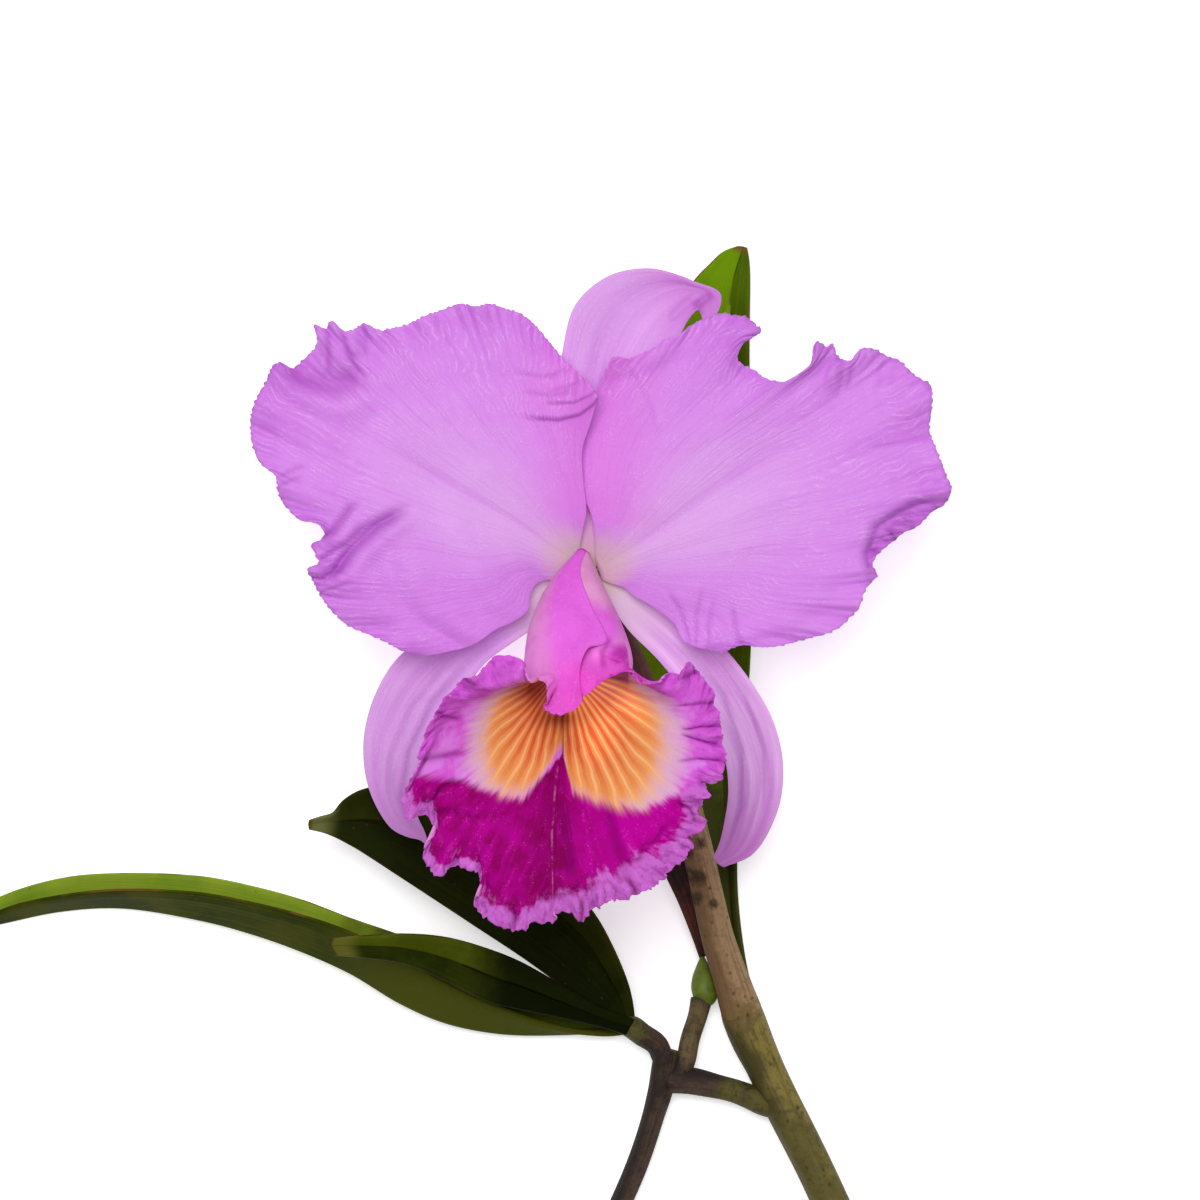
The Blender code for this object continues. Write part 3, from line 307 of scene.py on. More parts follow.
# Folds: a line, its half width, its height and, for a step up to the left side of the
# line, how far that side stays raised, else 0
LEFT_PETAL_FOLDS = [
    ([(-68, 68), (-67.8, 62), (-68, 55)], 0.7, -0.9, 0),
    ([(-64.6, 67.5), (-62.4, 60.5), (-58.6, 55)], 0.7, -1, 0),
    ([(-61.4, 68), (-61.4, 61)], 1.1, 0.9, 0),
    ([(-58.4, 70), (-58.6, 60.5)], 0.7, -0.5, 0),
    ([(-79, 60), (-75, 55), (-66, 54), (-58, 56)], 3, -1.6, 0),
    ([(-83, 55), (-76, 51), (-66, 48), (-56, 49)], 3, 1, 0),
    ([(-48, 23), (-56, 18.6), (-62, 13), (-65.4, 8.4), (-69, 4.6)], 1.5, -3, 0),
    ([(-46, 21), (-54, 15.4), (-60, 9.6), (-63.6, 5)], 2, 1, 0),
    ([(-61, 25), (-63.6, 21), (-67, 16.8), (-71.4, 14.4)], 0.9, -1.5, 0),
    ([(-73.6, 34), (-80.4, 30.4)], 0.5, -0.6, 0),
    ([(-74.6, 31), (-80.4, 28.2)], 0.5, -0.6, 0),
    ([(-62, 4.6), (-72, 1.4)], 0.5, -0.5, 0),
    ([(-58, 19.6), (-64, 14), (-71, 9.4)], 0.7, -1.1, 0),
    ([(-64, 8.2), (-69.4, 5.4), (-74, 6.6)], 1.1, -1.6, 0),
    ([(-19, 46), (-10.4, 45.4), (-5.2, 46.6), (-1.8, 49), (1, 53)], 0.5, 2.1, 3.4),
    ([(-14, 49.4), (-6.4, 49.6), (-2.2, 51.6), (1, 55)], 0.4, 1.2, 1.8),
    ([(-20, 52), (-13, 51), (-6, 52.2)], 0.45, -0.5, 0),
    ([(-22, 57), (-15, 55.6), (-10, 56)], 0.45, -0.4, 0),
    ([(-13.4, 51.6), (-8, 53.2), (-3, 55), (0, 58)], 0.5, -0.5, 0),
    ([(-14, 55), (-9, 57.2), (-5, 60)], 0.5, -0.4, 0),
]
RIGHT_PETAL_FOLDS = [
    ([(4.6, 61.4), (9.6, 56.4), (13.6, 49), (15, 42)], 0.9, 0.35, 0),
    ([(58.6, 64), (58.2, 58), (57, 52)], 0.9, 0.9, 0),
    ([(60.6, 62), (60, 55), (59, 50)], 0.6, -0.8, 0),
    ([(63, 60), (61.6, 52)], 0.6, -0.7, 0),
    ([(71, 62), (69.6, 53)], 0.5, -0.4, 0),
    ([(74, 61), (72.4, 53)], 0.5, -0.35, 0),
    ([(85, 42), (76, 39.4), (68, 38)], 0.6, -0.4, 0),
    ([(92, 27), (80, 25), (74, 22.6), (68.6, 19), (66, 12), (67, 2)], 2.4, -3.4, 30),
    ([(73, 20), (77.4, 18.4), (80, 18)], 0.6, -0.7, 0),
    ([(70, 15.6), (73.6, 14)], 0.6, -0.7, 0),
    ([(84, 25), (76, 24)], 0.9, -0.9, 0),
    ([(86.6, 26.6), (84.4, 22)], 0.6, -1.4, 0),
    ([(76.4, 21.4), (79, 16.6)], 0.6, -1.4, 0),
    ([(71.6, 18.6), (75.4, 13.4)], 0.6, -1.4, 0),
    ([(67.6, 13), (72, 10.4)], 0.6, -1.3, 0),
    ([(66.6, 8.6), (71, 7.4)], 0.6, -1.2, 0),
    ([(16.6, 3), (20, -2.4), (22, -9), (22.6, -14)], 0.6, -0.45, 0),
    ([(26, 4), (24, -5), (23.6, -14)], 0.55, -0.4, 0),
    ([(29, 1), (27, -6), (27, -14)], 0.5, -0.35, 0),
    ([(33, -1), (34, -8), (36.4, -13)], 0.6, -0.45, 0),
]
LEFT_SEPAL_FOLDS = [
    ([(-33, -15.4), (-42.4, -26), (-48, -38), (-50, -50), (-46.8, -59)], 1, -1, 0),
    ([(-37, -15), (-47, -27), (-52.6, -40), (-53, -52)], 1, -0.6, 0),
    ([(-46, -45), (-48, -53)], 0.7, 0.6, 0),
]
RIGHT_SEPAL_FOLDS = [
    ([(22, -12), (31, -24), (35.6, -38), (35.6, -52), (31.4, -64)], 1, -1, 0),
    ([(26, -10), (36, -23), (41, -38), (40.6, -54)], 1, -0.6, 0),
]
DORSAL_SEPAL_FOLDS = [
    ([(17.4, 70), (21.4, 74), (24.6, 76.4)], 0.9, 0.9, 0),
    ([(23.6, 72.4), (25.4, 74.4), (28.4, 76.6)], 1.2, -1.8, 0),
    ([(24.6, 73.4), (25.8, 71)], 0.7, -0.8, 0),
]
FLAP_FOLDS = [
    ([(3.2, -9), (0.6, -13), (0.9, -17.4)], 0.7, -1.3, 0),
    ([(4.6, -12.4), (3.4, -15.2)], 2, 1.9, 0),
    ([(7.4, -14.4), (7.2, -18)], 1.2, 1.1, 0),
    ([(-2.6, -12.8), (0, -12.6)], 1.5, 0.9, 0),
    ([(-10.6, -21.4), (-12.6, -24.6), (-13.6, -27)], 0.5, -0.8, 0),
    ([(-6, -21), (-7, -27)], 0.6, 0.5, 0),
    ([(-14, -17), (-12.6, -21)], 0.8, 0.8, 0),
]
LOBE_FOLDS = [
    ([(-9.8, -32), (-11, -45), (-12, -57), (-11.6, -68)], 0.45, 0.6, 0),
    ([(-9, -50), (-8.4, -60), (-7.2, -70)], 1.6, -1, 0),
    ([(-14, -46), (-16, -58), (-19, -70)], 2, 0.9, 0),
    ([(1, -50), (4, -60), (7, -68)], 1.6, -0.8, 0),
    ([(19, -26.4), (24, -26), (31, -25)], 0.45, -1.1, 0),
    ([(20, -32.6), (25, -31.6), (32, -31.4)], 0.45, -1.1, 0),
    ([(20, -33.4), (25, -35), (30.4, -36.4)], 0.5, -1.4, 0),
    ([(19, -40.4), (24, -39.6), (32, -40)], 0.45, -1, 0),
    ([(20, -20), (25, -17), (28, -15)], 0.8, -1, 0),
    ([(1, -71), (-2, -72.6), (-6, -72), (-9, -74.2), (-13, -74), (-17.5, -76.8)], 0.7, 1.8, 4),
    ([(19, -55.6), (16, -57), (14.6, -60.4), (11.6, -61.4), (10, -65), (6, -66), (3.6, -69)],
     0.7, 2, 4),
    ([(-20, -78), (-24, -75.6), (-27.4, -72.8), (-29.6, -69)], 0.6, 1.4, 3),
    ([(-22, -76), (-21, -79), (-21.6, -83)], 0.6, -1, 0),
    ([(-5, -74), (-4.4, -77), (-5, -81)], 0.6, -1, 0),
    ([(7, -69), (8.6, -72), (9, -75)], 0.6, -1, 0),
    ([(19, -50), (22.4, -52), (24, -56)], 0.5, -1.2, 0),
    ([(-45.4, -49), (-43.6, -50.6), (-41.4, -49.6), (-40, -46.8), (-37.2, -45.4), (-32.8, -45.7)],
     0.55, -1.5, 0),
    ([(-42.1, -53), (-37.2, -52.6), (-32.8, -54), (-28.3, -54.2)], 0.55, -1.2, 0),
    ([(-30, -22), (-34, -19), (-37, -16)], 0.8, -1, 0),
    ([(-34, -30), (-40, -28.6), (-44, -27)], 0.8, -1.1, 0),
    ([(-33, -38), (-40, -39), (-46, -40)], 0.9, -1.1, 0),
]

# Grids of the blades: faces across and along
PETAL_GRID = (560, 78)
SEPAL_GRID = (70, 180)
LIP_GRID = (620, 76)
LEAF_ACROSS = 60

# A blade thins out over this share of its width and length, in so many levels
THIN_SHARE = 0.12
THIN_LEVELS = 20
# Shares of a stem's radius over the first rings from its cut end
END_ROUNDING = [0, 0.6, 0.94]

# Middle of the lip's orange throat in plan. Both tables that follow are read at the angle
# from straight down round it, in degrees
THROAT_MIDDLE = (-9.5, -25.0)
THROAT_REACH = [
    (-180, 10), (-120, 10), (-100, 14), (-90, 17), (-72, 21), (-56, 24.7), (-43, 27.6), (-33, 28.2),
    (-23, 26), (-16.7, 21.4), (-12, 17), (-3, 12), (2, 12), (6, 22.6), (15.6, 26), (27, 32.2),
    (41, 33.2), (56, 31), (75, 27.2), (90, 23.2), (105, 18), (120, 12), (180, 10),
]
FRILL_WIDTH = [
    (-180, 9), (-75, 8), (-62, 3), (-52, 4.5), (-40, 3), (-30, 2.4), (-18, 4), (-8, 5.5), (4, 6.5),
    (14, 7.5), (26, 9.4), (34, 6), (42, 4.2), (56, 5.4), (80, 7.5), (110, 8.5), (180, 9),
]
# Upper bound of the magenta: X and Y
LOBE_START = [
    (-46, -44), (-36, -45), (-30, -47), (-20, -50), (-10, -46), (0, -50), (10, -52.5), (16, -50),
    (24, -46), (32, -42),
]
# Where the left flap's edge lies on the right one: Y and X
FLAP_EDGE = [(-10, 1.7), (-8, 2.4), (-4.9, 1.7), (-1.3, -2), (2.4, -4.5), (5.7, -4.1), (9.1, -2.6)]
# Deeper magenta on the rolled edge of the right flap: X, Y and reach
CURL_SPOTS = [(5.2, -13.6, 2.7), (8, -16, 2.6), (10.6, -18.4, 2.2)]

# Places of the stems that have a colour of their own, and the painted shadow of the lip on the sheath: X,
# Y and reach
SHEATH_SPOTS = {
    # Real dark smudges, and painted shadow of the lip along the sheath's left side
    "smudge_and_lip_shadow": [(28.4, -76.4, 1.5), (25.2, -61, 1.8), (25.2, -69.4, 2.4), (21.6, -63, 3),
               (22.2, -69, 2.8), (24, -75, 2)],
    "low": [(36.4, -106, 6)],
}
CANE_SPOTS = {"top": [(35.6, -103, 7)], "end": [(58, -152, 16), (50, -136, 9)]}
SIDE_SPOTS = {
    "node": [(15.4, -116, 4), (15.4, -122, 3.6), (17.6, -126, 2.2)],
    "green": [(6, -106.6, 7), (33, -123.2, 5), (40, -126, 6)],
    "stub": [(22.4, -112, 5), (24.4, -105, 5)],
}
# Colour of the petals' veins, midrib and edges
DEEP_LILAC = (196, 98, 214)

# Studio: metres, millimetres for the lens and its sensor, and watts
FLOOR_SIZE = 6
LOOK_AT_HEIGHT = 0.05
LAMP_FROM_MIDDLE = (-0.08, 0.32, 1.35)
LAMP_SIZE = 0.8
LAMP_POWER = 14.5
SKY_STRENGTH = 0.46
CAMERA_HEIGHT = 10.003
CAMERA_REACH = 100
CAMERA_LENS = 1200
CAMERA_SENSOR = 36


def run_along(curve):
    """How far along a curve each of its points lies."""
    return np.concatenate([[0], np.cumsum(np.linalg.norm(np.diff(curve, axis=0), axis=1))])


def chord_keys(points):
    """A key for each point, growing with the root of the distance between neighbours."""
    steps = np.sqrt(np.linalg.norm(np.diff(points, axis=0), axis=1))
    return np.concatenate([[0], np.cumsum(steps)])


def unit(value):
    return np.clip(value, 0, 1)


def eased(value):
    return value * value * (3 - 2 * value)


def looked_up(value, table):
    """The second numbers of a table of pairs, read at the first ones."""
    return np.interp(value, *zip(*table))


def spot(x, y, middle_x, middle_y, reach):
    """1 at a place in plan, fading all round it."""
    return np.exp(-((x - middle_x) ** 2 + (y - middle_y) ** 2) / reach**2)


def strongest(x, y, circles):
    return np.maximum.reduce([spot(x, y, *circle) for circle in circles])


def through(keys, points, at):
    """Places at the values `at` on a smooth curve that passes each point at its key."""
    keys, points, at = (np.asarray(values, float) for values in (keys, points, at))
    spans = np.diff(keys)
    spread = (-1,) + (1,) * (points.ndim - 1)
    slopes = np.diff(points, axis=0) / spans.reshape(spread)
    before = spans[:-1].reshape(spread)
    after = spans[1:].reshape(spread)
    inner = (slopes[:-1] * after + slopes[1:] * before) / (before + after)
    tangents = np.concatenate([slopes[:1], inner, slopes[-1:]])
    cell = np.clip(np.searchsorted(keys, at, side="right") - 1, 0, len(spans) - 1)
    width = spans[cell].reshape(spread)
    t = ((at - keys[cell]) / spans[cell]).reshape(spread)
    return (
        points[cell] * (2 * t**3 - 3 * t**2 + 1)
        + tangents[cell] * width * (t**3 - 2 * t**2 + t)
        + points[cell + 1] * (3 * t**2 - 2 * t**3)
        + tangents[cell + 1] * width * (t**3 - t**2)
    )


def even(points, count):
    """`count` places at equal distances along the smooth curve through the points."""
    points = np.asarray(points, float)
    keys = chord_keys(points)
    fine = through(keys, points, np.linspace(0, keys[-1], 60 * len(points)))
    run = run_along(fine)
    wanted = np.linspace(0, run[-1], count)
    return np.stack([np.interp(wanted, run, fine[:, axis]) for axis in range(3)], axis=1)


def softened(curve, reach):
    """An evenly spaced curve without its waves shorter than `reach`, its ends kept."""
    step = np.linalg.norm(np.diff(curve, axis=0), axis=1).mean()
    soft = curve.copy()
    for _ in range(int(2 * (reach / step) ** 2 / 4)):
        soft[1:-1] += 0.25 * (soft[:-2] - 2 * soft[1:-1] + soft[2:])
    return soft


def ripple(run, lengths, seed):
    """An uneven ripple along a run in millimetres, made of waves of the given lengths."""
    draw = np.random.default_rng(seed)
    total = np.zeros_like(run)
    for length in lengths:
        bend = np.interp(run, np.linspace(run[0], run[-1], 12), draw.uniform(-1.5, 1.5, 12))
        swell = np.interp(run, np.linspace(run[0], run[-1], 15), draw.uniform(0.3, 1.3, 15))
        total += swell * np.sin(2 * math.pi * run / length + bend + draw.uniform(0, 6))
    return total / len(lengths)


def crinkle(x, y, lengths, seed):
    """An uneven crinkle in plan, from bent waves of the given lengths in all directions."""
    draw = np.random.default_rng(seed)
    total = np.zeros_like(x)
    for length in lengths:
        for _ in range(3):
            way, start, bent = draw.uniform(0, 2 * math.pi, 3)
            along = x * math.cos(way) + y * math.sin(way)
            beside = y * math.cos(way) - x * math.sin(way)
            bend = 1.2 * np.sin(2 * math.pi * beside / (2.2 * length) + bent)
            total += np.sin(2 * math.pi * along / length + bend + start)
    return total / (1.7 * len(lengths))


def folded(surface, folds, where=1.0):
    """Lays folds into a surface, and gives for each place a weight of painted shade: in each
    hollow, on the lowered side of each step down, and as a painted shadow at the foot of
    each step up.
    """
    x, y = surface[..., 0], surface[..., 1]
    depth = np.zeros_like(x)
    rise = np.zeros_like(x)
    for line, width, height, reach in folds:
        line = np.array(line, float)
        length = np.linalg.norm(np.diff(line, axis=0), axis=1)
        before = run_along(line)
        best = np.full(x.shape, np.inf)
        side = np.zeros_like(x)
        share = np.zeros_like(x)
        for start, end, size, run in zip(line[:-1], line[1:], length, before):
            way = (end - start) / size
            t = np.clip((x - start[0]) * way[0] + (y - start[1]) * way[1], 0, size)
            away = np.hypot(x - start[0] - t * way[0], y - start[1] - t * way[1])
            closer = away < best
            turn = way[0] * (y - start[1]) - way[1] * (x - start[0])
            side = np.where(closer, away * np.sign(turn), side)
            share = np.where(closer, (run + t) / before[-1], share)
            best = np.minimum(best, away)
        window = unit(np.minimum(share, 1 - share) / 0.2 + 0.12)
        if not reach:
            hollow = np.exp(-((side / width) ** 2)) * window
            rise += height * hollow
            if height < 0:
                depth = np.maximum(depth, hollow * min(1, -height))
            continue
        step = eased(unit(side / width + 0.5))
        rise += height * step * np.exp(-np.maximum(side, 0) / reach) * window
        if height < 0:
            shade = 0.9 * step * np.exp(-np.maximum(side, 0) / 8)
        else:
            shade = np.exp(-(((side + 0.7 * width) / (0.9 * width)) ** 2))
        depth = np.maximum(depth, shade * window)
    surface[..., 2] += rise * where
    return surface, depth * where


def slid_even(plan, sweeps):
    """Lets the inner places of a grid slide, its border kept, until its lines run evenly
    and don't cross."""
    for _ in range(sweeps):
        across = (plan[1:-1, 2:] - plan[1:-1, :-2]) / 2
        along = (plan[2:, 1:-1] - plan[:-2, 1:-1]) / 2
        first = (along**2).sum(-1, keepdims=True)
        second = (across**2).sum(-1, keepdims=True)
        both = (across * along).sum(-1, keepdims=True)
        corners = (plan[2:, 2:] - plan[2:, :-2] - plan[:-2, 2:] + plan[:-2, :-2]) / 2
        plan[1:-1, 1:-1] = (
            first * (plan[1:-1, 2:] + plan[1:-1, :-2])
            + second * (plan[2:, 1:-1] + plan[:-2, 1:-1])
            - both * corners
        ) / (2 * (first + second) + 1e-9)
    return plan


def petal_surface(sides, spokes, rings, seed):
    """A petal's middle surface, spread between its two sides, its narrow base and its far
    edge. Slow waves of the edge run down to the base, and quick ones stay near the edge."""
    first, edge, last = sides
    dense = even(edge, 4 * spokes + 1)
    broad, slow, middle, quick = (softened(dense, wave)[::4] for wave in PETAL_WAVES)
    curve = dense[::4]
    run = run_along(curve)
    crimp = ripple(run, (3.1, 4.3, 5.7), seed)
    nicks = ripple(run, (1.3, 1.9, 2.6), seed + 1)
    ends = unit(np.minimum(run, run[-1] - run) / 6)
    outwards = slow - np.array([*HEART, PETAL_MIDDLE_HEIGHT])
    outwards /= np.linalg.norm(outwards, axis=1)[:, None]
    across = np.linspace(0, 1, spokes + 1)[:, None]
    along = 1 - (1 - np.linspace(0, 1, rings + 1)) ** 1.15
    fine = 40 * rings
    left, right = (even(rail, fine + 1)[np.rint(along * fine).astype(int)] for rail in (first, last))
    foot = left[0] + (right[0] - left[0]) * across
    side = 2 * across[:, 0] - 1
    creases = ripple(side * 60 + 60, (9.0, 13.0, 21.0), seed + 2)
    veins = ripple(side * 60 + 60, (1.5, 2.1), seed + 3)
    rows = []
    for t, start, end in zip(along, left, right):
        row = start * (1 - across) + end * across + foot * (1 - t) + slow * t
        row -= (1 - t) * foot + t * (left[-1] * (1 - across) + right[-1] * across)
        row[:, 2] += (broad - slow)[:, 2] * (t - t**4)
        row += (middle - slow) * t**8 + (quick - middle) * t**15 + (curve - quick) * t**28
        swell = math.sin(math.pi * t)
        row[:, 2] += PETAL_BULGE * swell * (1 - side**2)
        row[:, 2] -= PETAL_MIDRIB * swell * np.exp(-((side / 0.1) ** 2))
        row[:, 2] += PETAL_CREASES * swell * creases * (1 - side**6) + PETAL_VEINS * t * veins
        row[:, 2] += PETAL_CRIMP * crimp * ends * t**20
        row += outwards * ((PETAL_NICKS * nicks - 0.1) * ends * t**40)[:, None]
        rows.append(row)
    surface = np.array(rows)
    outer = int(0.55 * rings)
    surface[outer:, :, :2] = slid_even(surface[outer:, :, :2].copy(), SMOOTHING_SWEEPS)
    return surface


def strip(rails, steps, ribs):
    """A blade's middle surface over three rails from its base to its tip, with fine ribs
    along it."""
    across, along = steps
    lines = np.array([even(rail, along + 1) for rail in rails])
    share = np.linspace(0, 1, across + 1)
    grid = through([0, 0.5, 1], lines, share).transpose(1, 0, 2)
    fade = np.sin(np.pi * np.linspace(0.02, 0.98, along + 1))[:, None]
    grid[..., 2] += ribs * fade * np.cos(2 * math.pi * 5 * share)[None, :] * np.sin(np.pi * share)
    return grid


def creased(rails, steps, roundness=0.12):
    """As strip, but with straight sides that meet in a slightly rounded keel."""
    across, along = steps
    left, keel, right = [even(rail, along + 1)[:, None] for rail in rails]
    share = np.linspace(-1, 1, across + 1)
    bend = np.where(np.abs(share) < roundness, (share**2 / roundness + roundness) / 2, np.abs(share))
    sides = np.where(share[None, :, None] < 0, left, right)
    return keel + (sides - keel) * bend[None, :, None]


def tube_ring(centre, half_width, half_height, lean, turned):
    """A section of the lip's tube: an open ring whose ends overlap on top, their edges
    turned by some degrees to the left."""
    slide = np.interp(np.arange(len(FLAP_TURN)), [0, 3, 7, 10], [1, 0, 0, 1])
    turn = np.radians(np.array(FLAP_TURN) + turned * slide)
    shift = np.array(FLAP_OVERLAP) * max(0.75, min(1, half_width / 8))
    out = (half_width + shift) * np.cos(turn)
    up = (half_height + shift) * np.sin(turn)
    tilt = math.radians(lean)
    x, y, z = centre
    return np.stack([x + out, y + up * math.sin(tilt), z + up * math.cos(tilt)], axis=1)


def from_flap_edge(turn):
    """How many places round the sections a spoke lies from the nearer edge of the lip."""
    return np.minimum(turn, len(FLAP_TURN) - 1 - turn)


def lip_surface(spokes, rings):
    """The lip's middle surface from its narrow base to its frilled rim, and for each
    spoke its place round the sections."""
    rim = [LIP_RIM[0][0]]
    places = [0.0]
    for stretch, points in enumerate(LIP_RIM):
        own = points[1:] if stretch == 0 else points
        rim += own
        places += [stretch + (i + 1) / len(own) for i in range(len(own))]
    rim_keys = chord_keys(np.array(rim))
    rim_fine = np.linspace(0, rim_keys[-1], 20 * spokes)
    run = run_along(through(rim_keys, rim, rim_fine))
    pick = np.interp(np.linspace(0, 1, spokes + 1), run / run[-1], rim_fine)
    turn = np.interp(pick, rim_keys, places)
    stations = np.arange(len(LIP_THROAT))
    rings_round = [tube_ring(*ring) for ring in LIP_TUBE] + [LIP_THROAT, LIP_BOWL, LIP_SKIRT]
    edge = through(rim_keys, rim, pick)
    soft = softened(edge, 5.0)
    sections = [through(stations, ring, turn) for ring in rings_round] + [soft]
    t = 1 - (1 - np.linspace(0, 1, rings + 1)) ** 1.3
    surface = through(LIP_PLACES, np.array(sections), t)
    run = run_along(edge)
    crimp = ripple(run, (4.3, 6.7, 9.6), 11)
    lean = ripple(run + 1.5, (4.3, 6.7, 9.6), 11)
    nicks = ripple(run, (1.3, 2.1, 3.1), 12) - np.abs(ripple(run, (2.4, 3.7), 14))
    free = np.clip((from_flap_edge(turn) - 0.9) / 0.8, 0.25, 1)
    spread = soft - np.array(LIP_MIDDLE)
    spread[:, 2] = 0
    spread /= np.linalg.norm(spread, axis=1)[:, None] + 1e-6
    ahead = np.gradient(soft, axis=0)
    ahead /= np.linalg.norm(ahead, axis=1)[:, None]
    from_rim = np.linalg.norm(surface - soft[None], axis=2)
    near = eased(unit(1 - from_rim / FRILL_BREADTH)) * (t > 0.7)[:, None]
    surface += (edge - soft)[None] * near[..., None]
    x, y = surface[..., 0].copy(), surface[..., 1].copy()
    surface[..., 2] += near**1.5 * (FRILL_HEIGHT * crimp * free)[None]
    surface[..., 2] += CRINKLE_UP * near * free[None] * crinkle(x, y, (3.6, 5.6, 8), 31)
    surface += ahead[None] * (near**2 * (FRILL_LEAN * lean * free)[None])[..., None]
    sideways = CRINKLE_ALONG * near**2 * free[None] * crinkle(x, y, (3.1, 4.7), 33)
    surface += ahead[None] * sideways[..., None]
    surface += spread[None] * (near**5 * FRILL_NICKS * (nicks + lean * free)[None])[..., None]
    return surface, turn, t, from_rim


def placed(points):
    """Points in millimetres over the table, as metres from the object's origin."""
    return (np.asarray(points, float) - np.array([*FOOT_CENTRE, 0])) * MM


def begun(name, add, **settings):
    """A new primitive with a name, its mesh and the places of its corners."""
    bpy.ops.object.select_all(action="DESELECT")
    add(**settings)
    piece = bpy.context.active_object
    piece.name = name
    corners = np.empty(3 * len(piece.data.vertices))
    piece.data.vertices.foreach_get("co", corners)
    return piece, piece.data, corners.reshape(-1, 3)


def write_mark(mesh, title, values):
    mark = mesh.attributes.new(title, "FLOAT", "POINT")
    mark.data.foreach_set("value", values.astype(np.float32))


def blade(name, surface, thickness, finishes, thin_edge=0.35, marks=None):
    """A thin piece over a surface: a grid that is laid on it and gets its thickness,
    less towards its edges. marks are values at the grid's places for its finish, and a
    second finish goes on its rim and upper side."""
    rows, columns = surface.shape[:2]
    piece, mesh, flat = begun(name, bpy.ops.mesh.primitive_grid_add,
                              x_subdivisions=columns - 1, y_subdivisions=rows - 1, size=2)
    for finish in finishes:
        mesh.materials.append(finish)
    column = np.rint((flat[:, 0] + 1) / 2 * (columns - 1)).astype(int)
    row = np.rint((flat[:, 1] + 1) / 2 * (rows - 1)).astype(int)
    mesh.vertices.foreach_set("co", placed(surface[row, column]).ravel())
    for title, values in (marks or {}).items():
        write_mark(mesh, title, values[row, column])
    to_side = np.minimum(column, columns - 1 - column) / (columns - 1)
    to_tip = (rows - 1 - row) / (rows - 1)
    weight = unit(np.minimum(to_side, to_tip) / THIN_SHARE) ** 0.5
    group = piece.vertex_groups.new(name="thickness")
    for level in range(THIN_LEVELS + 1):
        chosen = np.nonzero(np.rint(weight * THIN_LEVELS) == level)[0]
        if len(chosen):
            group.add(chosen.tolist(), level / THIN_LEVELS, "REPLACE")
    wall = piece.modifiers.new("Wall", "SOLIDIFY")
    wall.thickness = thickness * MM
    wall.offset = 0
    wall.vertex_group = "thickness"
    wall.thickness_vertex_group = thin_edge
    wall.material_offset = len(finishes) - 1
    wall.material_offset_rim = len(finishes) - 1
    bpy.context.view_layer.objects.active = piece
    bpy.ops.object.modifier_apply(modifier=wall.name)
    piece.vertex_groups.clear()
    mesh.shade_smooth()
    return piece


def stem(name, line, rings=90, sides=40, skin=None, spots=None):
    """A round stem along a smooth line, shaped from a ball whose poles become the middles
    of its cut ends. skin gives the extra radius at a share of the length and an angle,
    and spots are titled lists of places in plan, each with its reach."""
    piece, mesh, ball = begun(name, bpy.ops.mesh.primitive_uv_sphere_add,
                              segments=sides, ring_count=rings, radius=1)
    ring = np.rint(np.arccos(np.clip(ball[:, 2], -1, 1)) / math.pi * rings).astype(int)
    turn = np.arctan2(ball[:, 1], ball[:, 0])
    share = unit((np.arange(rings + 1) - 2) / (rings - 4))
    width = np.ones(rings + 1)
    width[[0, 1, 2]] = END_ROUNDING
    width[[-1, -2, -3]] = END_ROUNDING
    centres = np.array([place for place, _ in line], float)
    keys = chord_keys(centres)
    middle = through(keys, centres, share * keys[-1])
    radius = through(keys, np.array([[radius] for _, radius in line]), share * keys[-1])[ring, 0]
    fine = through(keys, centres, np.linspace(0, keys[-1], 400))
    ahead = np.gradient(fine, axis=0)[np.rint(share * 399).astype(int)]
    frames = []
    across = None
    for way in ahead:
        way = Vector(way).normalized()
        start = across or Vector((0, 0, 1)).cross(way)
        across = (start - way * start.dot(way)).normalized()
        frames.append((across, way.cross(across)))
    side, up = np.array(frames)[ring].transpose(1, 0, 2)
    if skin is not None:
        radius = radius + skin(share[ring], turn)
    out = side * np.cos(turn)[:, None] + up * np.sin(turn)[:, None]
    points = middle[ring] + out * (radius * width[ring])[:, None]
    mesh.vertices.foreach_set("co", placed(points).ravel())
    for title, circles in (spots or {}).items():
        write_mark(mesh, title, strongest(points[:, 0], points[:, 1], circles))
    write_mark(mesh, "facing", np.cos(turn))
    mesh.update()
    if (np.cross(side, up)[0] * ahead[0]).sum() > 0:
        bpy.ops.object.mode_set(mode="EDIT")
        bpy.ops.mesh.select_all(action="SELECT")
        bpy.ops.mesh.normals_make_consistent(inside=False)
        bpy.ops.object.mode_set(mode="OBJECT")
    mesh.shade_smooth()
    return piece


class Value:
    """A value that a material's nodes work out. Sums with it are written as arithmetic."""

    def __init__(self, finish, socket):
        self.finish = finish
        self.socket = socket

    def __add__(self, other):
        return self.finish.sum("ADD", self, other)

    def __sub__(self, other):
        return self.finish.sum("SUBTRACT", self, other)

    def __rsub__(self, other):
        return self.finish.sum("SUBTRACT", other, self)

    def __mul__(self, other):
        return self.finish.sum("MULTIPLY", self, other)

    def __abs__(self):
        return self.finish.sum("ABSOLUTE", self)

    def sine(self):
        return self.finish.sum("SINE", self)

    def larger(self, other):
        return self.finish.sum("MAXIMUM", self, other)

    def fade(self, start, end):
        """0 at start and before, 1 at end and after, smooth between them."""
        limits = (start, end, 0.0, 1.0) if start < end else (end, start, 1.0, 0.0)
        inputs = dict(zip(("From Min", "From Max", "To Min", "To Max"), limits), Value=self)
        return self.finish.node("ShaderNodeMapRange", inputs, interpolation_type="SMOOTHSTEP")


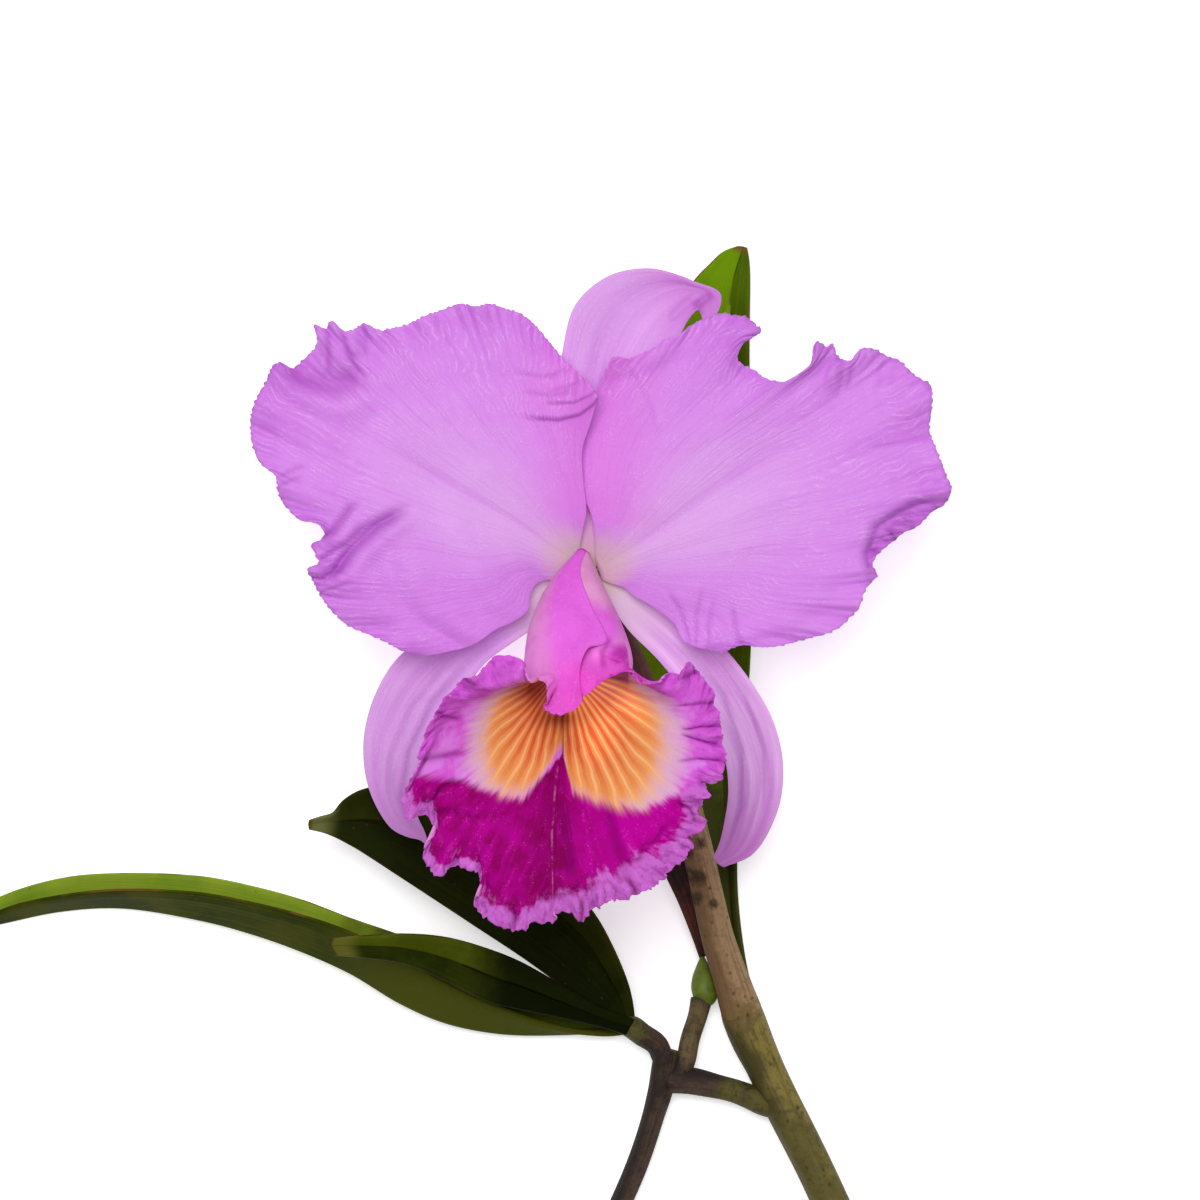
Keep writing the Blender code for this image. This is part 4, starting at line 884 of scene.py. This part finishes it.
class Finish:
    """A material built up from nodes, and its tint so far. A colour is three whole numbers
    from 0 to 255."""

    def __init__(self, name, roughness, specular, tint=None):
        self.material = bpy.data.materials.new(name)
        self.material.use_nodes = True
        self.tree = self.material.node_tree
        self.shader = self.tree.nodes["Principled BSDF"]
        self.shader.inputs["Roughness"].default_value = roughness
        self.shader.inputs["Specular IOR Level"].default_value = specular
        self.tint = tint

    def put(self, socket, value):
        if isinstance(value, Value):
            self.tree.links.new(value.socket, socket)
        elif isinstance(value, tuple):
            socket.default_value = [(part / 255) ** 2.2 for part in value] + [1.0]
        else:
            socket.default_value = value

    def node(self, kind, inputs=None, output=0, **settings):
        """An output of a new node, whose inputs are set or joined."""
        made = self.tree.nodes.new(kind)
        for key, value in settings.items():
            setattr(made, key, value)
        for key, value in (inputs or {}).items():
            self.put(made.inputs[key], value)
        return Value(self, made.outputs[output])

    def sum(self, operation, first, second=0.0):
        return self.node("ShaderNodeMath", {0: first, 1: second}, operation=operation)

    def mix(self, share, first, second):
        return self.node("ShaderNodeMix", {0: share, 6: first, 7: second}, 2, data_type="RGBA")

    def lay(self, colour, share):
        """Lays a share of a colour over the tint so far."""
        self.tint = self.mix(share, self.tint, colour)

    def mark(self, title):
        return self.node("ShaderNodeAttribute", None, "Fac", attribute_name=title)

    def places(self, kind="Object"):
        return self.node("ShaderNodeTexCoord", None, kind)

    def shares(self):
        """The shares of the width and the length, from the piece's own UV map."""
        return [self.node("ShaderNodeSeparateXYZ", {0: self.places("UV")}, axis) for axis in (0, 1)]

    def noise(self, scale, detail=2.0, rough=0.5, vector=None):
        inputs = {"Vector": vector or self.places(), "Scale": scale, "Detail": detail, "Roughness": rough}
        return self.node("ShaderNodeTexNoise", inputs)

    def streaks(self, across, along, detail=2.0, rough=0.5):
        """Noise on the UV map, so many times finer across and along the piece."""
        inputs = {"Vector": self.places("UV"), "Scale": [across, along, 1]}
        return self.noise(1.0, detail, rough, self.node("ShaderNodeMapping", inputs))

    def noise_over(self, x, y, detail=2.0, rough=0.5):
        """Noise on a plane whose two directions are values of their own."""
        return self.noise(1.0, detail, rough, self.node("ShaderNodeCombineXYZ", {0: x, 1: y}))

    def specks(self, scale, size):
        """Small round specks, 1 in their middles."""
        inputs = {"Vector": self.places(), "Scale": scale}
        return self.node("ShaderNodeTexVoronoi", inputs, "Distance").fade(size, size * 0.4)

    def glow(self, value, strength):
        """A faint glow of emitted light: painted light where it stands for thin flesh with light behind
        it.
        """
        self.put(self.shader.inputs["Emission Color"], value)
        self.shader.inputs["Emission Strength"].default_value = strength

    def done(self, height=None, distance=0.0, strength=1.0, through=0.0):
        """The material with its tint, its relief from a height and a distance in metres,
        and the share of the light that it lets through, as a petal does."""
        self.put(self.shader.inputs["Base Color"], self.tint)
        if through:
            own = Value(self, self.shader.outputs[0])
            behind = self.node("ShaderNodeBsdfTranslucent", {"Color": self.tint})
            both = self.node("ShaderNodeMixShader", {0: through, 1: own, 2: behind})
            self.put(self.tree.nodes["Material Output"].inputs["Surface"], both)
        if height:
            inputs = {"Strength": strength, "Distance": distance, "Height": height}
            self.put(self.shader.inputs["Normal"], self.node("ShaderNodeBump", inputs))
        return self.material


def petal_finish():
    f = Finish("Petal lilac", 0.5, 0.3, (214, 134, 230))
    across, along = f.shares()
    from_rib = abs(across - 0.5)
    veins = f.streaks(90, 3, 3.0, 0.6)
    cloud = f.noise(45.0)
    patch = f.noise(240.0, 3.0, 0.65)
    grain = f.noise(1500.0, 2.0, 0.7)
    fine = f.noise(2600.0, 2.0, 0.7)
    f.lay((224, 172, 234), from_rib.fade(0.44, 0.06) * along.fade(0.86, 0.15) * 0.9)
    f.lay(DEEP_LILAC, veins.fade(0.5, 0.74) * along.fade(0.1, 0.7) * 0.4)
    f.lay(DEEP_LILAC, from_rib.fade(0.03, 0.0) * along.fade(0.75, 0.4) * 0.25)
    f.lay(DEEP_LILAC, along.fade(0.76, 1.0) * cloud.fade(0.35, 0.6) * 0.45)
    f.lay((230, 118, 228), f.mark("inner") * along.fade(0.0, 0.2) * 0.6)
    lines = (across * 620.0 + f.streaks(9, 5) * 46.0).sine().fade(0.1, 1.0) * patch.fade(0.4, 0.64)
    lines = lines * along.fade(0.2, 0.7) * cloud.fade(0.34, 0.52)
    f.lay((242, 190, 248), lines * 0.3)
    # Tiny pale specks: painted glints of the petal's sparkle
    f.lay((250, 214, 252), fine.fade(0.58, 0.7) * patch.fade(0.4, 0.6) * 0.4)
    # Painted shade in the hollows of the folds and at their steps
    f.lay((170, 68, 182), f.mark("fold_shade") * 0.5)
    f.lay((222, 184, 192), along.fade(0.14, 0.02) * 0.8)
    return f.done(veins * 0.8 + grain * 0.4 + lines * 0.25, 0.0005, 0.6, through=0.18)


def sepal_finish(name, pale, base, foot, tip):
    """A sepal, with the colours of its palest streaks, its lower part, its foot and its tip; the darker
    tip is painted shade.
    """
    f = Finish(name, 0.55, 0.2, (218, 158, 228))
    along = f.shares()[1]
    veins = f.streaks(34, 3, 4.0, 0.7)
    grain = f.noise(1400.0, 2.0, 0.7)
    f.lay(pale, f.streaks(6, 1.6, 3.0).fade(0.34, 0.72))
    f.lay((192, 114, 204), veins.fade(0.5, 0.68) * 0.22)
    # Painted shade in the hollows of the folds
    f.lay((172, 100, 184), f.mark("fold_shade") * 0.4)
    # Pale specks: painted glints
    f.lay((244, 214, 250), grain.fade(0.55, 0.72) * 0.25)
    # The darker tip: painted shade
    f.lay(tip, along.fade(0.66, 0.96) * 0.8)
    f.lay(base, along.fade(0.32, 0.08))
    f.lay(foot, along.fade(0.1, 0.0))
    return f.done(veins + grain * 0.3, 0.0004, 0.5, through=0.15)


def lip_marks(surface, turn, t, from_rim):
    """Values that say where a place of the lip lies: its direction from the throat, how
    far out of the orange it is, how deep in the magenta lobe and how near the rim."""
    x, y = surface[..., 0], surface[..., 1]
    across = x - THROAT_MIDDLE[0]
    down = THROAT_MIDDLE[1] - y
    angle = np.degrees(np.arctan2(across, down))
    distance = np.hypot(across, down)
    ones = np.ones_like(x)
    place = t[:, None] * ones
    to_edge = from_flap_edge(turn)[None]
    low = unit((looked_up(x, LOBE_START) - y) / 8 + 0.5)
    middle = looked_up(distance, [(13, 0.5), (20, -3.8), (27, -5.2)])
    spread = looked_up(distance, [(12, 0.01), (14, 1.6), (20, 9.5), (27, 14)])
    wedge = unit(1.3 - 0.7 * np.abs(angle - middle) / spread) * unit((distance - 12) / 3)
    left = unit(1 - (turn - 1.1) / 1.3)[None] * ones
    right = unit((turn - 7.6) / 0.6)[None] * unit((place - 0.42) / 0.16)
    beside = x - looked_up(y, FLAP_EDGE)
    near_flap = np.exp(-((np.maximum(beside, 0) / 3.4) ** 1.5)) * unit((beside + 9) / 3)
    # Painted shadow under the tongue, and painted shade on the throat's left flank
    shadow_below_tongue = np.exp(-(((x + 10) / 5) ** 2) - ((y + 29.6) / 2.2) ** 2)
    shade_on_left_flank = 0.8 * np.exp(-(((x + 17.5) / 4.5) ** 2) - ((y + 22) / 3) ** 2)
    return {
        "direction": angle / 180,
        "fan": np.degrees(np.arctan2(x + 9.2, -(y + 17))) / 180,
        "beyond": distance / looked_up(angle, THROAT_REACH),
        "lobe": np.maximum(low, wedge),
        "rim": np.where(place > 0.7, from_rim / looked_up(angle, FRILL_WIDTH), 2.0),
        "groove": np.exp(-(((x + 9.2) / 0.22) ** 2)) * (distance < 14.5) * (np.abs(angle) < 40),
        # A painted highlight on the swelling of the flap
        "bulge_highlight": spot(x, y, -1.2, -13, 2.3),
        "depth": place,
        "crease": x - looked_up(y, [(-67, -11.8), (-58, -12), (-47, -11.2), (-40, -10.4)]),
        "flap": np.maximum(left, right),
        "curl": strongest(x, y, CURL_SPOTS) * (to_edge < 2.4),
        "beside": near_flap * unit((4 - y) / 9) * unit((y + 14) / 2),
        "deep": np.maximum(shadow_below_tongue, shade_on_left_flank),
        "rim_run": run_along(surface[-1])[None] * ones,
        "rim_depth": from_rim,
        "collar": unit(2.2 - to_edge) * unit((place - 0.55) / 0.1),
    }


def lip_inside_finish():
    f = Finish("Lip throat and lobes", 0.7, 0.04, (144, 0, 96))
    titles = ("direction", "beyond", "fan", "lobe", "rim", "crease", "rim_depth", "rim_run")
    direction, beyond, fan, lobe, rim, crease, from_rim, rim_run = (f.mark(title) for title in titles)
    feather = f.noise_over(direction * 75.0, beyond * 1.4, 4.0, 0.65) - 0.5
    streak = f.noise_over(direction * 60.0, beyond * 2.6, 3.0)
    cloud = f.noise(160.0, 3.0, 0.6)
    patch = f.noise(380.0, 3.0, 0.65)
    grain = f.noise(1500.0, 2.0, 0.7)
    fine = f.noise(2600.0, 2.0, 0.7)
    low = (lobe + feather * 0.6).fade(0.28, 0.66)

    # Magenta lobes, and lilac round the throat
    f.lay((168, 0, 130), cloud.fade(0.36, 0.66))
    f.lay((186, 0, 150), streak.fade(0.46, 0.68) * 0.7)
    f.lay((198, 0, 164), direction.fade(0.0, 0.14) * 0.6)
    f.lay((116, 0, 66), crease.fade(-9.0, -1.0) * crease.fade(4.0, 0.5) * 0.5)
    f.tint = f.mix(low, f.mix(cloud.fade(0.4, 0.62), (220, 128, 228), (216, 94, 214)), f.tint)

    # Pale halo round the orange, and the paler frill
    out = beyond + feather * 0.34
    halo = out.fade(1.28, 1.06) * lobe.fade(0.8, 0.3) * abs(direction + 0.02).fade(0.06, 0.17)
    f.lay((220, 178, 200), halo * (1.0 - low * 0.95) * 0.85)
    worn = (patch - 0.5) * 1.1 + (f.noise_over(rim_run * 0.17, 0.0) - 0.5) * 1.8
    f.lay(f.mix(low, (214, 94, 216), (208, 112, 214)), (rim + worn).fade(1.2, 0.8) * 0.9)

    # Orange throat with its darker veins and the bright lines between them
    orange = out.fade(1.1, 0.84) * (1.0 - lobe.fade(0.5, 0.95))
    warm = f.mix(beyond.fade(0.45, 0.8), (238, 144, 86), (236, 156, 90))
    f.lay(f.mix(beyond.fade(0.8, 1.08), warm, (240, 190, 128)), orange)
    wave = (fan * 168.0 + f.noise_over(fan * 9.0, beyond * 2.2) * 7.0).sine()
    broken = f.noise_over(fan * 34.0, beyond * 5.0, 3.0)
    veins = (wave + (broken - 0.54) * 1.8).fade(0.0, 0.7) * beyond.fade(1.08, 0.35)
    f.lay((204, 80, 44), veins * orange * 0.75)
    f.lay((252, 204, 144), wave.fade(-0.65, -1.0) * beyond.fade(1.15, 0.7) * orange * 0.65)
    flank = abs(direction).fade(0.42, 0.62) * beyond.fade(1.3, 0.9)
    f.lay((212, 96, 124), flank * wave.fade(-0.2, 0.8) * 0.75)

    # Painted shade deep inside the tube, a painted shadow under the flap's tongue and painted shade on the
    # throat's left flank, and the flaps' collar
    f.lay((150, 46, 16), f.mark("depth").fade(0.4, 0.28))
    f.lay((118, 30, 20), f.mark("deep") * 0.75)
    f.lay((96, 22, 22), f.mark("groove") * 0.8)
    f.lay((212, 62, 190), f.mark("collar"))

    # Ruffles of the rim with painted shade in their gullies, the pale line along the middle, painted
    # glints, and painted shade in the folds
    ruffle = f.noise_over(rim_run * 0.34, from_rim * 0.3, 4.0, 0.6)
    gully_shade = ruffle.fade(0.5, 0.38) * from_rim.fade(11.0, 3.0)
    f.lay(f.mix(low, (176, 52, 180), (140, 8, 122)), gully_shade * 0.4)
    f.lay((228, 138, 232), ruffle.fade(0.54, 0.66) * from_rim.fade(9.0, 2.0) * 0.45)
    f.lay((206, 110, 184), abs(crease).fade(0.22, 0.04) * patch.fade(0.42, 0.6) * low * 0.6)
    f.lay((226, 100, 210), fine.fade(0.6, 0.7) * (patch + streak).fade(0.98, 1.2) * low * 0.65)
    f.lay(f.mix(low, (140, 26, 134), (118, 2, 90)), f.mark("fold_shade") * 0.66)

    # Painted light: the orange throat glows on its right side and under the right flap, as if lit through
    # the thin flaps
    near = direction.fade(0.04, 0.2) * beyond.fade(0.64, 0.36)
    under = direction.fade(0.34, 0.52) * beyond.fade(1.0, 0.7)
    f.glow(f.mix(orange * near.larger(under), (0, 0, 0), f.tint), 0.55)
    crisp = (patch + ruffle * 2.4) * from_rim.fade(10.0, 3.0)
    return f.done(feather * 0.5 + grain * 0.5 + crisp, 0.0006, 0.6, through=0.14)


def lip_outside_finish():
    f = Finish("Lip outside pink", 0.6, 0.1)
    depth = f.mark("depth")
    cloud = f.noise(130.0, 3.0, 0.6)
    grain = f.noise(1300.0, 2.0, 0.7)
    side = f.mix(depth.fade(0.02, 0.5), (238, 168, 208), (240, 150, 226))
    top = f.mix(depth.fade(0.35, 0.85), (238, 110, 234), (230, 88, 206))
    near = f.mark("beside") + (cloud - 0.5) * 0.5
    f.tint = f.mix(f.mark("flap").fade(0.05, 0.85).larger(near.fade(0.0, 1.0)), side, top)
    f.lay((214, 66, 200), cloud.fade(0.4, 0.66) * 0.25)
    # A painted highlight on the flap's swelling
    f.lay((255, 132, 238), f.mark("bulge_highlight"))
    f.lay((206, 56, 184), (f.mark("curl") + (cloud - 0.5) * 0.8).fade(0.1, 0.9))
    # Pale specks: painted glints
    f.lay((250, 180, 244), grain.fade(0.56, 0.72) * 0.2)
    # Painted shade in the hollows of the folds
    f.lay((186, 30, 150), f.mark("fold_shade") * 0.5)
    return f.done(grain, 0.0004, 0.5, through=0.2)


def leaf_finish(name, first, second, keel, margin, base=None, tip=None):
    """A leathery leaf, with a pair of greens on either side of its keel; the darker pair is
    painted shade. base is the two shares of the length between which a colour comes in
    towards the base, and that colour: on the short leaf painted shadow of the flower above.
    tip is where the paler tip begins and its colour."""
    f = Finish(name, 0.55, 0.03)
    across, along = f.shares()
    from_keel = abs(across - 0.5)
    grain = f.streaks(70, 2.5, 3.0, 0.6)
    cloud = f.noise(60.0, 3.0, 0.6)
    left, right = (f.mix(cloud.fade(0.35, 0.65), *greens) for greens in (first, second))
    # Either side of the keel has its own pair of greens; the darker pair is painted shade
    f.tint = f.mix(across.fade(0.49, 0.51), left, right)
    f.lay(keel, grain.fade(0.45, 0.7) * 0.3)
    f.lay(keel, from_keel.fade(0.03, 0.0) * 0.6)
    f.lay(margin, from_keel.fade(0.488, 0.499) * f.noise(90.0).fade(0.46, 0.6))
    f.lay(margin, f.specks(260.0, 0.12) * 0.4)
    if tip:
        start, paler = tip
        f.lay(paler, along.fade(start - 0.03, start + 0.03) * 0.75)
    f.lay(margin, along.fade(0.985, 1.0))
    # A colour towards the base; on the short leaf it is painted shadow of the flower above
    if base:
        start, end, own = base
        f.lay(own, (along + (cloud - 0.5) * 0.3).fade(start, end) * 0.92)
    return f.done(grain, 0.0003, 0.5)


def bark_finish(name, lit, shaded, fleck, fibres, roughness, patches):
    """Cane skin: streaks along it, flecks, and painted shade on its left side. patches are the
    marked places that have a colour of their own; the sheath's smudges include painted
    shadow of the lip."""
    f = Finish(name, roughness, 0.3, lit)
    streak = f.streaks(fibres, 3, 3.0, 0.65)
    cloud = f.noise(120.0, 4.0, 0.65)
    grain = f.noise(900.0, 3.0, 0.7)
    mottle = f.noise(420.0, 4.0, 0.7)
    uneven = cloud - 0.5 + (mottle - 0.5) * 1.6
    # Painted shade on the left side of the stem
    f.lay(shaded, (f.mark("facing") + (cloud - 0.5) * 1.8).fade(-0.4, 0.65))
    f.lay(shaded, streak.fade(0.47, 0.62) * 0.6)
    for title, own in patches.items():
        place = f.mark(title)
        f.lay(own, (place + uneven * place.fade(0.02, 0.4)).fade(0.2, 0.9) * 0.9)
    f.lay(shaded, mottle.fade(0.49, 0.63) * 0.5)
    f.lay(fleck, f.specks(420.0, 0.3) * cloud.fade(0.42, 0.56) * 0.75)
    f.lay(fleck, grain.fade(0.55, 0.7) * 0.25)
    return f.done(streak + grain * 0.5, 0.0006, 0.7)


def smooth_finish(name, main, second, roughness):
    f = Finish(name, roughness, 0.4, main)
    f.lay(second, f.noise(180.0, 3.0, 0.6).fade(0.35, 0.65))
    return f.done(f.noise(1200.0, 2.0, 0.6), 0.0003, 0.4)


def finished(piece, node, slot, *materials):
    """Gives a piece its finish and its body, and hides the solid it stands for. slot is not used."""
    for material in materials:
        piece.data.materials.append(material)
    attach(piece, "root")
    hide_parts(node)
    return piece


def build_petals():
    lilac = petal_finish()
    for side, sides, folds, seed in (("left", LEFT_PETAL, LEFT_PETAL_FOLDS, 3),
                                     ("right", RIGHT_PETAL, RIGHT_PETAL_FOLDS, 23)):
        surface, depth = folded(petal_surface(sides, *PETAL_GRID, seed), folds)
        x, y = surface[..., 0], surface[..., 1]
        inner = np.exp(-((x + 1) / 14) ** 2) * unit((y - 12) / 8)
        marks = {"fold_shade": depth, "inner": np.maximum(inner, 0.8 * spot(x, y, -9, 52, 12))}
        piece = blade(f"petal_{side}_fine", surface, PETAL_THICKNESS, [lilac], marks=marks)
        finished(piece, f"petal_{side}", "petal")


def build_sepals():
    for side, rails, folds, *colours in (
        ("dorsal", DORSAL_SEPAL, DORSAL_SEPAL_FOLDS,
         (226, 172, 234), (218, 164, 208), (214, 172, 176), (206, 120, 212)),
        ("left", LEFT_SEPAL, LEFT_SEPAL_FOLDS,
         (224, 176, 234), (222, 198, 216), (220, 204, 190), (196, 132, 204)),
        # The right sepal's brighter streak colour is painted light, lifting a face turned from the lamp
        ("right", RIGHT_SEPAL, RIGHT_SEPAL_FOLDS,
         (246, 204, 250), (228, 200, 224), (220, 204, 190), (190, 112, 194)),
    ):
        finish = sepal_finish(f"{side.capitalize()} sepal lilac", *colours)
        surface, depth = folded(strip(rails, SEPAL_GRID, SEPAL_RIBS), folds)
        piece = blade(f"sepal_{side}_fine", surface, SEPAL_THICKNESS, [finish], marks={"fold_shade": depth})
        finished(piece, f"sepal_{side}", "sepal")


def build_lip():
    surface, turn, t, from_rim = lip_surface(*LIP_GRID)
    to_edge = from_flap_edge(turn)[None]
    flaps = (to_edge < 2.2) & (t[:, None] > 0.3)
    surface, flap_fold_shade = folded(surface, FLAP_FOLDS, flaps.astype(float))
    lobes = (to_edge > 1.2) & (t[:, None] > 0.55)
    surface, lobe_fold_shade = folded(surface, LOBE_FOLDS, lobes.astype(float))
    marks = lip_marks(surface, turn, t, from_rim)
    marks["fold_shade"] = np.maximum(flap_fold_shade, lobe_fold_shade)
    finishes = [lip_outside_finish(), lip_inside_finish()]
    finished(blade("lip_fine", surface, LIP_THICKNESS, finishes, 0.45, marks), "lip", "lip")


def build_leaves():
    for leaf, slot, rails, along, *looks in (
        ("tall", "leaf", TALL_LEAF, 180, "Leaf green", ((108, 150, 16), (92, 134, 12)),
         ((74, 98, 14), (62, 84, 12)), (110, 132, 40), (110, 84, 40), (0.36, 0.26, (66, 68, 34))),
        ("long", "leaf", LONG_LEAF, 200, "Long leaf green", ((42, 50, 0), (62, 64, 4)),
         ((130, 152, 44), (112, 140, 38)), (84, 98, 26), (96, 72, 34), (0.44, 0.34, (70, 74, 18))),
        # The short leaf's dark green side and near-black base are painted shade and shadow of the flower
        # above
        ("short", "leaf", SHORT_LEAF, 120, "Short leaf green", ((64, 74, 12), (80, 88, 22)),
         ((30, 38, 6), (44, 52, 10)), (56, 62, 18), (60, 52, 22), (0.62, 0.42, (16, 22, 4)),
         (0.93, (98, 96, 40))),
        # The rear leaf's greens are all painted shade of the flower above
        ("rear", "leaf_shaded", REAR_LEAF, 140, "Rear leaf green", ((24, 29, 5), (30, 36, 8)),
         ((34, 40, 9), (48, 52, 16)), (44, 50, 14), (84, 62, 34), None, (0.945, (110, 114, 66))),
    ):
        surface = creased(rails, (LEAF_ACROSS, along))
        if leaf == "tall":
            surface[..., 2] = np.maximum(surface[..., 2], LEAF_THICKNESS / 2)
        piece = blade(f"leaf_{leaf}_fine", surface, LEAF_THICKNESS, [leaf_finish(*looks)])
        finished(piece, f"leaf_{leaf}", slot)


def sheath_skin(share, turn):
    ridges = 0.12 * np.sin(11 * turn) + 0.08 * np.sin(23 * turn + 4 * share)
    dents = 0.15 * np.sin(9 * share + 2 * np.sin(turn)) * np.sin(2 * turn + 1)
    return ridges + dents


def cane_skin(share, turn):
    return 0.05 * np.sin(7 * turn + 3 * share) + 0.1 * np.sin(14 * share + turn)


def build_canes():
    sheath = stem("sheath_fine", SHEATH, 160, 72, sheath_skin, SHEATH_SPOTS)
    finished(sheath, "sheath", "sheath", bark_finish(
        "Dry sheath", (152, 124, 90), (110, 84, 56), (62, 40, 24), 60, 0.75,
        {"smudge_and_lip_shadow": (48, 32, 18), "low": (112, 92, 50)}))
    cane = stem("cane_main_fine", CANE, 160, 64, cane_skin, CANE_SPOTS)
    finished(cane, "cane_main", "cane_green", bark_finish(
        "Green cane", (118, 104, 46), (62, 56, 14), (54, 46, 14), 24, 0.6,
        {"top": (104, 84, 46), "end": (84, 76, 26)}))
    brown = bark_finish("Brown cane", (72, 54, 42), (34, 24, 18), (24, 15, 10), 30, 0.7,
                        {"green": (84, 80, 28), "stub": (98, 84, 52), "node": (32, 22, 12)})
    names = ("cane_side_fine", "leaf_stalk_fine", "bud_stub_fine", "rhizome_fine")
    for name, line in zip(names, (SIDE_CANE, LEAF_STALK, BUD_STUB, RHIZOME)):
        piece = stem(name, line, 90, 48, cane_skin, SIDE_SPOTS)
        finished(piece, "cane_side", "cane_brown", brown)
    bud = stem("bud_fine", BUD, 60, 40)
    finished(bud, "bud", "bud", smooth_finish("Bud green", (96, 114, 10), (72, 88, 6), 0.55))
    stalk = stem("flower_stalk_fine", STALK, 90, 36, None, {"ovary": [(*HEART, 6)]})
    finished(stalk, "flower_stalk", "flower_stalk", bark_finish(
        "Stalk brown", (84, 50, 40), (56, 34, 26), (40, 26, 18), 20, 0.6, {"ovary": (204, 180, 150)}))
    column = stem("column_fine", COLUMN, 60, 32)
    finished(column, "column", "column",
             smooth_finish("Column cream", (226, 206, 200), (214, 190, 140), 0.4))
    # Dark red-brown, darkened further as painted shade
    dry = smooth_finish("Dry bract", (78, 34, 18), (40, 16, 9), 0.7)
    bract = blade("bract_dry_fine", strip(BRACT, (30, 60), BRACT_RIBS), BRACT_THICKNESS, [dry])
    finished(bract, "bract_dry", "bract")


def build_studio():
    floor, _, _ = begun("floor", bpy.ops.mesh.primitive_plane_add, size=FLOOR_SIZE)
    paper = Finish("Pale floor", 0.9, 0.1, (250, 250, 250))
    paper.glow((255, 255, 255), 0.45)
    floor.data.materials.append(paper.done())
    middle = Vector((*(-np.array(FOOT_CENTRE) * MM), LOOK_AT_HEIGHT))
    key = bpy.data.lights.new("key_light", "AREA")
    key.shape = "DISK"
    key.size = LAMP_SIZE
    key.energy = LAMP_POWER
    lamp = bpy.data.objects.new("key_light", key)
    lamp.location = middle + Vector(LAMP_FROM_MIDDLE)
    lamp.rotation_euler = (middle - lamp.location).to_track_quat("-Z", "Y").to_euler()
    bpy.context.scene.collection.objects.link(lamp)
    world = bpy.data.worlds.new("Soft room")
    world.use_nodes = True
    sky = world.node_tree.nodes["Background"]
    sky.inputs["Color"].default_value = (1, 1, 1, 1)
    sky.inputs["Strength"].default_value = SKY_STRENGTH
    bpy.context.scene.world = world
    camera = bpy.data.cameras.new("camera")
    camera.sensor_width = CAMERA_SENSOR
    camera.lens = CAMERA_LENS
    camera.clip_end = CAMERA_REACH
    eye = bpy.data.objects.new("camera", camera)
    eye.location = middle + Vector((0, 0, CAMERA_HEIGHT))
    bpy.context.scene.collection.objects.link(eye)
    bpy.context.scene.camera = eye
    bpy.context.scene.view_settings.view_transform = "Standard"


build_studio()
build_petals()
build_sepals()
build_lip()
build_leaves()
build_canes()
